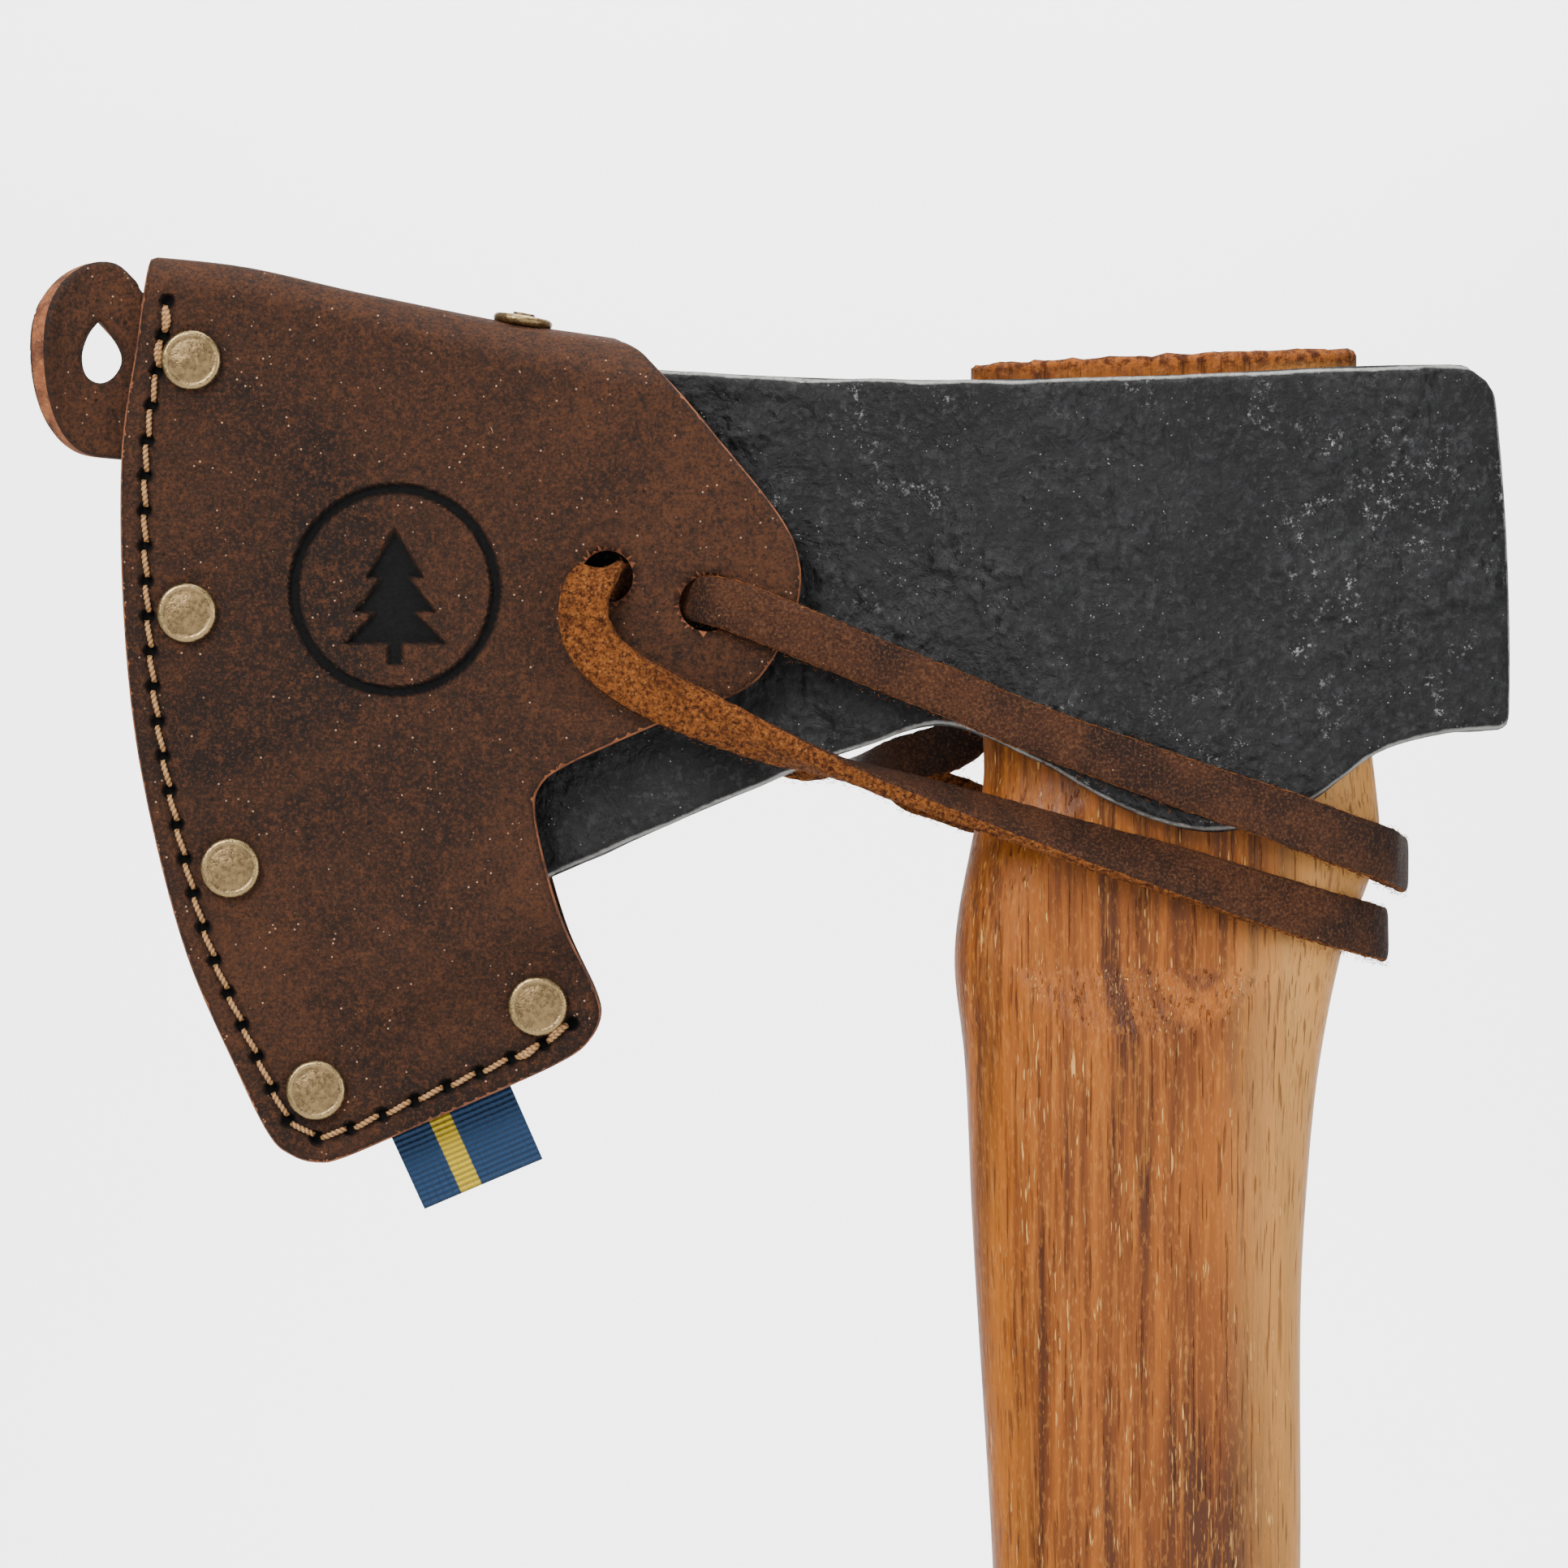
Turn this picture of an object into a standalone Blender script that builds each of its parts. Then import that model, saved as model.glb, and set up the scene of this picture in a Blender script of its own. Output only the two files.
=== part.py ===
"""Felling axe with a forged head on a curved wooden handle, its bit covered by a riveted leather sheath.

Lengths are millimetres here and become metres as each mesh is made. +Z runs up the handle, -X points to
the cutting edge, +X to the poll, and -Y is the near cheek. The origin is on the handle's flat butt end.
Heights on the head and the sheath are given from HEAD_TOP, and are mostly negative.
"""

import math

import bmesh
import bpy
import numpy as np
from mathutils import Vector
from mathutils.geometry import delaunay_2d_cdt

MM = 0.001
GAP = 0.3

# Handle: (height above the butt, front x, rear x, half thickness)
HEAD_TOP = 656.3
HANDLE_TOP = 660.5
HANDLE_SHAPE = [
    (0.0, -23.5, 20.0, 12.0),
    (5.0, -26.4, 22.8, 13.8),
    (16.0, -25.8, 23.0, 14.2),
    (38.0, -19.6, 22.2, 13.4),
    (68.0, -13.0, 20.8, 12.2),
    (110.0, -12.0, 19.4, 11.8),
    (170.0, -17.2, 15.2, 11.7),
    (240.0, -21.4, 12.2, 11.6),
    (310.0, -22.0, 12.6, 11.6),
    (380.0, -20.8, 15.2, 11.8),
    (440.0, -21.0, 17.4, 12.1),
    (498.0, -22.9, 18.3, 12.5),
    (545.0, -25.7, 18.9, 12.9),
    (566.0, -26.7, 21.0, 13.2),
    (579.0, -28.0, 23.6, 13.2),
    (596.0, -25.4, 28.9, 12.2),
    (602.0, -24.2, 28.4, 10.8),
    (610.0, -24.2, 27.4, 10.4),
    (656.0, -25.8, 25.8, 10.4),
    (660.5, -25.8, 25.8, 10.4),
]
HANDLE_SIDES = 36
HANDLE_ROUNDNESS = 2.3
CHEEK_HALF = 10.4
CHEEK_END = 578.0
CHEEK_RISE = 0.30
BUTT_ROUNDING = 2.5

# Wooden wedge in the handle's top
WEDGE_LENGTH = 44.0
WEDGE_DEPTH = 40.0
WEDGE_TOP = 4.4
WEDGE_TIP = 1.2

# Head: outline from the toe to the poll along the top, and from the heel to the poll underneath
TOP_LINE = [(-122.0, 7.6), (-95.0, 3.8), (-67.0, 1.2), (-30.0, -0.4), (0.0, 0.1), (28.0, 1.4), (43.0, 1.6)]
UNDER_LINE = [
    (-112.0, -75.6),
    (-104.0, -75.6),
    (-81.5, -66.3),
    (-60.4, -57.0),
    (-41.0, -49.3),
    (-29.0, -46.2),
    (-18.0, -50.6),
    (-4.0, -58.0),
    (6.0, -60.4),
    (18.0, -56.9),
    (28.0, -49.8),
    (36.0, -47.4),
    (45.3, -46.9),
]
EDGE_BULGE = 8.2
BULGE_REACH = 0.42
# Half thickness against the share of the way from the edge to the poll
HEAD_HALF = [
    (0.0, 0.25),
    (0.05, 1.3),
    (0.14, 2.7),
    (0.26, 4.6),
    (0.38, 6.9),
    (0.47, 9.0),
    (0.54, 11.4),
    (0.60, 13.6),
    (0.66, 14.5),
    (0.86, 14.5),
    (1.0, 13.8),
]
HEAD_COLUMNS = 30
HEAD_ROWS = 8
HEAD_CORNER = 2.6

# Sheath: one piece of leather folded over the top of the bit
LEATHER = 2.8
WELT = 3.0
FOLD_LINE = [(-139.0, 16.9), (-124.0, 15.4), (-106.5, 11.6), (-89.3, 8.2), (-73.0, 5.6), (-45.0, 1.5)]
# The half gap inside it, against x
SHEATH_GAP = [
    (-140.0, 1.8),
    (-127.0, 1.8),
    (-115.0, 2.5),
    (-100.0, 4.2),
    (-86.0, 6.4),
    (-75.0, 8.2),
    (-61.0, 9.6),
    (-46.0, 10.6),
]
SEAM_FLAT = 9.0
SEAM_RISE = 12.0
SHEATH_OUTLINE = [
    (-135.6, 16.6),
    (-137.1, 5.0),
    (-139.2, -10.4),
    (-138.9, -32.0),
    (-136.6, -52.3),
    (-131.0, -75.3),
    (-123.6, -92.7),
    (-119.4, -101.0),
    (-116.6, -103.5),
    (-113.3, -104.5),
    (-109.3, -103.8),
    (-97.5, -98.7),
    (-87.6, -94.4),
    (-81.1, -91.4),
    (-77.4, -89.0),
    (-75.4, -85.6),
    (-75.9, -81.8),
    (-79.8, -73.5),
    (-82.4, -65.2),
    (-83.9, -57.7),
    (-83.2, -54.3),
    (-79.6, -51.5),
    (-67.1, -45.9),
    (-56.7, -41.8),
    (-52.6, -38.0),
    (-49.2, -31.0),
    (-48.7, -24.7),
    (-51.4, -18.4),
    (-60.0, -7.6),
    (-67.5, 1.4),
    (-70.2, 4.2),
    (-73.0, 5.6),
]
SEAM_POINTS = slice(2, 15)
SHEATH_STEP = 8.5
SLAB_STEP = 5.0

# Rivets along the front edge, and the stud on the fold
RIVETS = [(-129.8, 2.5), (-130.4, -31.2), (-124.6, -65.2), (-113.2, -94.8), (-83.6, -83.6)]
STUD_X = -85.8
RIVET_CAP = 4.0
RIVET_DOME = [(4.0, 0.0), (4.0, 0.25), (3.7, 0.8), (2.8, 1.3), (1.5, 1.62), (0.0, 1.7)]
RIVET_FOOT = 0.9
RIVET_POST = 1.5
RIVET_HOLE = 1.85
STUD_BACK = [(2.8, 0.0), (2.8, -0.5), (0.0, -0.7)]
RIVET_SIDES = 14
FOLD_CLEAR = 0.5

# Inner border of the welt, from the hang tab down to the heel
WELT_INNER = [
    (-127.0, -11.6),
    (-127.3, -31.0),
    (-125.8, -48.0),
    (-121.6, -66.0),
    (-116.2, -79.0),
    (-110.0, -87.6),
    (-101.0, -88.2),
    (-94.0, -86.8),
    (-88.4, -88.4),
    (-83.6, -86.4),
    (-79.6, -86.0),
]
WELT_MIDDLE = np.array((-110.0, -70.0))
WELT_INSET = 0.2
TAG_NOTCH = 6.6
TAG_CORNERS = [(-104.9, -97.8), (-98.9, -110.9), (-83.1, -104.2), (-88.9, -91.0)]
TAG_HALF = 0.6

# Hang tab, laid out flat, before it is bent towards the near side
TAB_OUTLINE = [
    (-125.4, 10.6),
    (-135.6, 11.4),
    (-137.6, 13.4),
    (-140.2, 15.6),
    (-144.0, 15.6),
    (-148.0, 13.4),
    (-151.4, 9.4),
    (-152.6, 4.6),
    (-151.8, -1.2),
    (-149.2, -6.4),
    (-145.4, -9.6),
    (-140.6, -10.5),
    (-134.0, -10.7),
    (-127.4, -10.7),
    (-126.4, -4.0),
]
TAB_HOLE = [
    (-142.6, 7.9),
    (-140.4, 5.2),
    (-139.4, 2.6),
    (-140.6, 0.4),
    (-142.6, -0.4),
    (-144.6, 0.6),
    (-145.2, 3.2),
    (-144.2, 6.0),
]
TAB_BEND_AT = -139.4
TAB_BEND_DEG = 62.0

# Stitching
STITCH_INSET = 3.3
STITCHES = 34
STITCH_START_HEIGHT = 10.6
STITCH_END = (-79.4, -85.8)
THREAD_RADIUS = 0.45
THREAD_SIDES = 6

# Lace: a strip through two holes in each panel and twice round the back of the handle
LACE_HOLES = [(-61.0, -30.1, 3.9), (-74.3, -26.5, 3.9)]
LACE_WIDTH = 7.0
LACE_THICK = 1.0
LACE_STEP = 5.0
# Places on the near side: (x, y, height, turn of the strip's face about the handle, share of its full width)
LACE_UPPER = [
    (-57.0, -13.8, -31.4, -90, 0.8),
    (-51.7, -13.9, -33.2, -90, 0.95),
    (-48.0, -14.0, -34.7, -90, 1),
    (-40.9, -14.3, -37.4, -90, 1),
    (-30.1, -14.65, -41.6, -90, 1),
    (-19.3, -15.1, -46.2, -90, 1),
    (-8.5, -15.45, -50.4, -90, 1),
    (2.3, -15.45, -54.0, -90, 1),
    (14.0, -15.4, -58.0, -90, 1),
    (22.5, -13.6, -61.2, -72, 1),
    (28.4, -9.4, -63.4, -42, 1),
    (30.9, -4.6, -64.4, -16, 1),
]
LACE_LOWER = [
    (-77.0, -12.5, -28.2, -90, 0.7),
    (-77.2, -12.4, -32.6, -90, 0.8),
    (-74.6, -12.6, -37.2, -90, 0.9),
    (-69.0, -12.9, -41.4, -90, 1),
    (-61.5, -13.3, -45.0, -90, 1),
    (-54.5, -13.6, -48.0, -90, 1),
    (-47.4, -13.5, -50.6, -90, 1),
    (-39.9, -13.4, -53.0, -90, 1),
    (-31.2, -13.3, -55.7, -90, 1),
    (-20.4, -13.2, -59.0, -90, 1),
    (-9.6, -13.1, -62.4, -90, 1),
    (1.2, -12.9, -65.6, -90, 1),
    (10.6, -12.5, -68.6, -86, 1),
    (18.5, -11.5, -71.0, -68, 1),
    (24.6, -8.0, -72.8, -40, 1),
    (28.0, -4.0, -73.8, -16, 1),
]
LACE_THROUGH = [
    (-60.0, -12.9, -30.3, -90, 0.55),
    (-61.7, -9.8, -29.9, -90, 0.55),
    (-63.8, -8.15, -29.3, -90, 0.8),
    (-67.6, -7.75, -28.3, -90, 0.9),
    (-71.0, -7.2, -27.4, -90, 0.8),
    (-73.2, -8.3, -26.8, -90, 0.55),
    (-74.7, -10.6, -26.5, -90, 0.55),
    (-76.0, -12.1, -26.6, -90, 0.55),
]
LACE_BACK_UPPER = (31.7, 0.0, -64.9, 0, 1)
LACE_BACK_LOWER = (28.8, 0.0, -74.1, 0, 1)
# The far side's two ends, which cross behind the head
LACE_FIRST_END = [
    (-23.0, 14.5, -47.6, 90, 0.2),
    (-27.0, 13.9, -48.6, 90, 0.8),
    (-34.0, 12.9, -50.6, 90, 1),
    (-42.0, 12.5, -51.8, 90, 1),
    (-50.0, 13.3, -50.2, 90, 1),
]
LACE_LAST_END = [
    (-28.0, 13.8, -56.4, 90, 1),
    (-35.0, 14.2, -54.2, 90, 0.8),
    (-40.0, 14.1, -52.8, 90, 0.25),
]
LACE_FAR_START = 5
LACE_FAR_END = 7


def key_curve(keys, at):
    """A smooth value at a place, through (place, value) keys in rising order of place."""
    places = np.array([key[0] for key in keys], float)
    values = np.array([key[1] for key in keys], float)
    slopes = np.gradient(values, places)
    at = float(np.clip(at, places[0], places[-1]))
    i = int(np.clip(np.searchsorted(places, at, side="right") - 1, 0, len(places) - 2))
    span = places[i + 1] - places[i]
    t = (at - places[i]) / span
    rise = values[i + 1] - values[i]
    bend = span * ((1 - t) * slopes[i] - t * slopes[i + 1]) + (2 * t - 1) * rise
    return float(values[i] + t * rise + t * (1 - t) * bend)


def smooth_path(points, step):
    """Points about step apart along a Catmull-Rom curve through the given ones, with any further values."""
    given = np.array(points, float)
    padded = np.vstack([2 * given[0] - given[1], given, 2 * given[-1] - given[-2]])
    made = [given[0]]
    for before, start, end, after in zip(padded, padded[1:], padded[2:], padded[3:]):
        pieces = max(1, round(np.linalg.norm(end[:3] - start[:3]) / step))
        for k in range(1, pieces + 1):
            t = k / pieces
            curved = 2 * start + (end - before) * t + (2 * before - 5 * start + 4 * end - after) * t**2
            made.append(0.5 * (curved + (3 * start - before - 3 * end + after) * t**3))
    return np.array(made)


def circle(x, height, radius, sides):
    turns = [2 * math.pi * k / sides for k in range(sides)]
    return np.array([(x + radius * math.cos(a), height + radius * math.sin(a)) for a in turns])


def inside(points, loop):
    """Which points lie inside a closed loop."""
    result = np.zeros(len(points), bool)
    for (x1, y1), (x2, y2) in zip(loop, np.roll(loop, -1, axis=0)):
        crosses = (y1 > points[:, 1]) != (y2 > points[:, 1])
        with np.errstate(divide="ignore", invalid="ignore"):
            at = (x2 - x1) * (points[:, 1] - y1) / (y2 - y1) + x1
        result ^= crosses & (points[:, 0] < at)
    return result


def distance_to(points, path):
    """Each point's distance to a path of straight pieces."""
    points = np.asarray(points, float).reshape(-1, 2)
    nearest = np.full(len(points), np.inf)
    for a, b in zip(path, path[1:]):
        along = b - a
        t = np.clip(((points - a) @ along) / (along @ along), 0, 1)
        nearest = np.minimum(nearest, np.linalg.norm(points - a - t[:, None] * along, axis=1))
    return nearest


def material(name, colour, roughness, metallic=0.0):
    made = bpy.data.materials.new(name)
    made.use_nodes = True
    shader = made.node_tree.nodes["Principled BSDF"]
    shader.inputs["Base Color"].default_value = (*colour, 1)
    shader.inputs["Roughness"].default_value = roughness
    shader.inputs["Metallic"].default_value = metallic
    made.diffuse_color = (*colour, 1)
    return made


def finish(name, bm, look, parent=None):
    """An object in metres from a mesh in millimetres, its faces turned outwards."""
    bmesh.ops.recalc_face_normals(bm, faces=bm.faces)
    bmesh.ops.scale(bm, vec=(MM, MM, MM), verts=bm.verts)
    mesh = bpy.data.meshes.new(name)
    bm.to_mesh(mesh)
    bm.free()
    mesh.shade_smooth()
    mesh.set_sharp_from_angle(angle=math.radians(40))
    mesh.materials.append(look)
    made = bpy.data.objects.new(name, mesh)
    bpy.context.collection.objects.link(made)
    made.parent = parent
    return made


def as_cutter(cutter, target):
    """Cuts the target with the other object, which then shows as wires only."""
    cutter.hide_render = True
    cutter.display_type = "WIRE"
    cut = target.modifiers.new("cut_" + cutter.name, "BOOLEAN")
    cut.operation = "DIFFERENCE"
    cut.solver = "EXACT"
    cut.object = cutter


def loft(rings):
    """A closed skin over rings of points, its two ends capped."""
    bm = bmesh.new()
    loops = [[bm.verts.new(point) for point in ring] for ring in rings]
    for first, second in zip(loops, loops[1:]):
        for k in range(len(first)):
            after = (k + 1) % len(first)
            bm.faces.new((first[k], first[after], second[after], second[k]))
    bm.faces.new(loops[0])
    bm.faces.new(loops[-1])
    return bm


def turned(profile, sides=RIVET_SIDES):
    """A turned piece about Z from its (radius, height) points, the first and last on the axis."""
    bm = bmesh.new()
    points = [bm.verts.new((radius, 0, height)) for radius, height in profile]
    edges = [bm.edges.new(pair) for pair in zip(points, points[1:])]
    bmesh.ops.spin(
        bm,
        geom=points + edges,
        axis=(0, 0, 1),
        cent=(0, 0, 0),
        angle=2 * math.pi,
        steps=sides,
        use_merge=True,
    )
    bmesh.ops.remove_doubles(bm, verts=bm.verts, dist=0.001)
    return bm


def fill_flat(border, holes, inner_points):
    """Points and triangles that fill a border and leave its holes open."""
    loops = [np.asarray(loop, float) for loop in (border, *holes)]
    count = np.cumsum([0] + [len(loop) for loop in loops])
    edges = []
    for start, loop in zip(count, loops):
        edges += [(int(start + k), int(start + (k + 1) % len(loop))) for k in range(len(loop))]
    free = np.asarray(inner_points, float).reshape(-1, 2)
    kept = inside(free, loops[0])
    for hole in loops[1:]:
        kept &= ~inside(free, hole)
    for loop in loops:
        closed = np.vstack([loop, loop[:1]])
        spacing = np.median(np.linalg.norm(np.diff(closed, axis=0), axis=1))
        kept &= distance_to(free, closed) > 0.45 * spacing
    coords = [Vector(point) for point in np.vstack([*loops, free[kept]])]
    found = delaunay_2d_cdt(coords, edges, [], 0, 1e-4)
    points = np.array([tuple(point) for point in found[0]])
    faces = np.array([face for face in found[2] if len(face) == 3])
    middles = points[faces].mean(axis=1)
    used = inside(middles, loops[0])
    for hole in loops[1:]:
        used &= ~inside(middles, hole)
    return points, faces[used]


def border_edges(faces):
    ends = np.concatenate([faces[:, [0, 1]], faces[:, [1, 2]], faces[:, [2, 0]]])
    _, index, count = np.unique(np.sort(ends, axis=1), axis=0, return_inverse=True, return_counts=True)
    return ends[count[index.reshape(-1)] == 1]


def sheet(points, faces, outer, inner, bm=None, open_at=None):
    """Two skins over the same flat triangles, walled along every border except where open_at says."""
    bm = bm or bmesh.new()
    skins = [[bm.verts.new(place(*point)) for point in points] for place in (outer, inner)]
    for a, b, c in faces:
        bm.faces.new((skins[0][a], skins[0][b], skins[0][c]))
        bm.faces.new((skins[1][c], skins[1][b], skins[1][a]))
    for a, b in border_edges(faces):
        if open_at and open_at(points[a]) and open_at(points[b]):
            continue
        bm.faces.new((skins[0][b], skins[0][a], skins[1][a], skins[1][b]))
    for vert in [vert for vert in bm.verts if not vert.link_faces]:
        bm.verts.remove(vert)
    return bm


def sweep(name, path, sides, radius, look, parent):
    """A round strand as a curve object along a path in millimetres."""
    curve = bpy.data.curves.new(name, "CURVE")
    curve.dimensions = "3D"
    curve.bevel_depth = radius * MM
    curve.bevel_resolution = (sides - 4) // 2
    curve.use_fill_caps = True
    spline = curve.splines.new("POLY")
    spline.points.add(len(path) - 1)
    for point, place in zip(spline.points, path):
        point.co = (*[value * MM for value in place], 1)
    curve.materials.append(look)
    made = bpy.data.objects.new(name, curve)
    bpy.context.collection.objects.link(made)
    made.parent = parent
    return made


def handle_section(height, clearance=0.0, inset=0.0):
    """One ring of the handle: an oval with flat cheeks where it enters the head."""
    curves = [[(key[0], key[column]) for key in HANDLE_SHAPE] for column in (1, 2, 3)]
    front, rear, half = (key_curve(keys, height) for keys in curves)
    middle = (front + rear) / 2
    reach = (rear - front) / 2 + clearance - inset
    half += clearance - inset
    cheek = CHEEK_HALF + clearance + CHEEK_RISE * max(0.0, CHEEK_END - height)
    ring = []
    for k in range(HANDLE_SIDES):
        turn = 2 * math.pi * k / HANDLE_SIDES
        across = math.copysign(abs(math.cos(turn)) ** (2 / HANDLE_ROUNDNESS), math.cos(turn))
        through = math.copysign(abs(math.sin(turn)) ** (2 / HANDLE_ROUNDNESS), math.sin(turn))
        y = half * through
        ring.append((middle + reach * across, math.copysign(min(abs(y), cheek), y), height))
    return ring


def make_handle(look):
    heights = [6.0, 12.0, 20.0, 30.0, 42.0, 56.0, 74.0]
    heights += list(np.arange(95.0, 560.0, 23.0))
    heights += [560.0, 567.0, 573.0, 578.0, 583.0, 588.0, 592.0, 596.0, 599.0, 602.0, 606.0, 612.0]
    heights += [630.0, 645.0, 659.7]
    rings = [handle_section(0.0, inset=BUTT_ROUNDING)]
    rings += [handle_section(0.8, inset=BUTT_ROUNDING * 0.3), handle_section(2.6)]
    rings += [handle_section(height) for height in heights]
    rings.append(handle_section(HANDLE_TOP, inset=0.8))
    return finish("handle", loft(rings), look)


def wedge_rings(clearance):
    """The wedge's outline at its top and at its tip, thinner towards the tip."""
    rings = []
    top = HANDLE_TOP + (2.0 if clearance else -0.4)
    for height, thick in ((HANDLE_TOP - WEDGE_DEPTH - clearance, WEDGE_TIP), (top, WEDGE_TOP)):
        x, y = WEDGE_LENGTH / 2 + clearance, thick / 2 + clearance
        rings.append([(-x, -y, height), (x, -y, height), (x, y, height), (-x, y, height)])
    return rings


def head_column(share, inset=0.0):
    """One closed ring round the head, this share of the way from the cutting edge to the poll."""
    top = np.array(along(TOP_LINE, share))
    under = np.array(along(UNDER_LINE, share))
    direction = (top - under) / np.linalg.norm(top - under)
    top, under = top - direction * inset, under + direction * inset
    half = key_curve(HEAD_HALF, share) - inset
    corner = min(HEAD_CORNER, 0.8 * half)
    length = np.linalg.norm(top - under)
    bulge = EDGE_BULGE * max(0.0, 1 - share / BULGE_REACH) ** 2
    turns = (0, math.pi / 6, math.pi / 3)
    side = [(corner * (1 - math.cos(a)), half - corner * (1 - math.sin(a))) for a in turns]
    side += [(corner + (length - 2 * corner) * k / HEAD_ROWS, half) for k in range(HEAD_ROWS + 1)]
    side += [(length - up, out) for up, out in reversed(side[:3])]
    ring = []
    for sign in (-1, 1):
        for up, out in side if sign < 0 else reversed(side):
            place = under + direction * up
            part = up / length
            ring.append((place[0] - bulge * 4 * part * (1 - part), sign * out, place[1] + HEAD_TOP))
    return ring


def along(line, share):
    """The point this share of the way along an outline, by its x."""
    x = line[0][0] + share * (line[-1][0] - line[0][0])
    return x, key_curve(line, x)


def make_head(look):
    shares = [0.0, 0.02] + [0.05 + 0.93 * k / (HEAD_COLUMNS - 1) for k in range(HEAD_COLUMNS)]
    rings = [head_column(share) for share in shares]
    rings += [head_column(0.994, inset=0.9), head_column(1.0, inset=2.4)]
    return finish("axe_head", loft(rings), look)


def fold_size(x):
    """The fold's top height, its outer half width, and how far down it is round."""
    gap = key_curve(SHEATH_GAP, x)
    return key_curve(FOLD_LINE, x), gap + LEATHER, LEATHER + 1.2 + 0.35 * gap


def unroll(x, height):
    """How far down the leather a point of the side view lies from the fold."""
    top, _, depth = fold_size(x)
    down = max(0.0, top - height)
    return math.acos(1 - down / depth) * depth if down < depth else down + depth * (math.pi / 2 - 1)


def leather_place(x, run, outside):
    """A point on the leather's outer or inner skin of the near panel."""
    top, half, depth = fold_size(x)
    if run < depth * math.pi / 2:
        turn = run / depth
        if outside:
            return Vector((x, -half * math.sin(turn), HEAD_TOP + top - depth * (1 - math.cos(turn))))
        inner = depth - LEATHER
        height = top - LEATHER - inner * (1 - math.cos(turn))
        return Vector((x, -(half - LEATHER) * math.sin(turn), HEAD_TOP + height))
    height = top - run + depth * (math.pi / 2 - 1)
    gap = panel_gap(x, height)
    return Vector((x, -(gap + LEATHER if outside else gap), HEAD_TOP + height))


def panel_gap(x, height):
    """Half the space between the panels: the welt's at the seam, and the bit's away from it."""
    away = float(distance_to([(x, height)], SEAM)[0])
    t = min(1.0, max(0.0, (away - SEAM_FLAT) / SEAM_RISE))
    seam_gap = WELT / 2 + GAP
    return seam_gap + (key_curve(SHEATH_GAP, x) - seam_gap) * t * t * (3 - 2 * t)


def make_leather(look, parent):
    border = smooth_path(SHEATH_OUTLINE, 4.0)
    border = np.array([(x, unroll(x, height)) for x, height in border])
    border[0, 1] = border[-1, 1] = 0.0
    edge_top = [(x, 0.0) for x in np.linspace(border[-1, 0], border[0, 0], 9)[1:-1]]
    border = np.vstack([border, edge_top])
    holes = [circle(x, height, RIVET_HOLE, 10) for x, height in RIVETS]
    holes += [circle(x, height, radius, 16) for x, height, radius in LACE_HOLES]
    holes = [np.array([(x, unroll(x, height)) for x, height in hole]) for hole in holes]
    inner_points = []
    for x in np.arange(-136.0, -46.0, SHEATH_STEP):
        depth = fold_size(x)[2]
        inner_points += [(x, depth * math.pi / 2 * k / 3) for k in (1, 2, 3)]
        inner_points += [(x, depth * math.pi / 2 + SHEATH_STEP * k) for k in range(1, 15)]
    points, faces = fill_flat(border, holes, inner_points)
    bm = sheet(
        points,
        faces,
        lambda x, run: leather_place(x, run, True),
        lambda x, run: leather_place(x, run, False),
        open_at=lambda point: point[1] < 0.01,
    )
    near = bm.verts[:] + bm.edges[:] + bm.faces[:]
    far = bmesh.ops.duplicate(bm, geom=near)["geom"]
    moved = [item for item in far if isinstance(item, bmesh.types.BMVert)]
    bmesh.ops.scale(bm, vec=(1, -1, 1), verts=moved)
    bmesh.ops.remove_doubles(bm, verts=bm.verts, dist=0.001)
    leather = finish("sheath_leather", bm, look, parent)
    top = fold_size(STUD_X)[0]
    bore = finish("stud_bore", turned([(0, -6), (RIVET_HOLE, -6), (RIVET_HOLE, 6), (0, 6)], 10), look)
    bore.location = (STUD_X * MM, 0, (HEAD_TOP + top) * MM)
    bore.rotation_euler.y = fold_tilt()
    as_cutter(bore, leather)
    return leather


def fold_tilt():
    """The angle that leans the stud square to the fold line."""
    rise = fold_size(STUD_X + 5)[0] - fold_size(STUD_X - 5)[0]
    return -math.atan2(rise, 10.0)


def slab(name, border, holes, half, look, parent, bend=None):
    """A flat piece of even thickness between the panels, which may be bent."""
    bend = bend or (lambda x, y: (x, y))

    def place(x, height, y):
        at = bend(x, y)
        return Vector((at[0], at[1], HEAD_TOP + height))

    low, high = np.min(border, axis=0), np.max(border, axis=0)
    xs = np.arange(low[0] + SLAB_STEP / 2, high[0], SLAB_STEP)
    grid = [(x, height) for x in xs for height in np.arange(low[1] + SLAB_STEP / 2, high[1], SLAB_STEP)]
    points, faces = fill_flat(border, holes, grid)
    skins = [lambda x, height: place(x, height, -half), lambda x, height: place(x, height, half)]
    bm = sheet(points, faces, *skins)
    return finish(name, bm, look, parent)


def make_welt(look, parent):
    """The strip between the panels along the seam, from the tab to the heel, notched for the tag."""
    tab_foot, seam_end = WELT_INNER[0][1], WELT_INNER[-1][0]
    tag_left, tag_right = TAG_CORNERS[0][0] - 1.6, TAG_CORNERS[3][0] + 3.2
    outer = [point for point in smooth_path(SHEATH_OUTLINE, 4.0) if point[1] < tab_foot]
    last = next(k for k, point in enumerate(outer) if point[0] > seam_end)
    border = []
    for point in outer[:last]:
        inward = (WELT_MIDDLE - point) / np.linalg.norm(WELT_MIDDLE - point)
        by_tag = tag_left < point[0] < tag_right and point[1] < TAG_CORNERS[3][1] + 6
        border.append(point + inward * (TAG_NOTCH if by_tag else WELT_INSET))
    border = np.vstack([border, smooth_path(WELT_INNER, 4.0)[::-1]])
    holes = [circle(x, height, RIVET_HOLE, 10) for x, height in RIVETS[1:4]]
    slab("edge_welt", border, holes, WELT / 2, look, parent)


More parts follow.
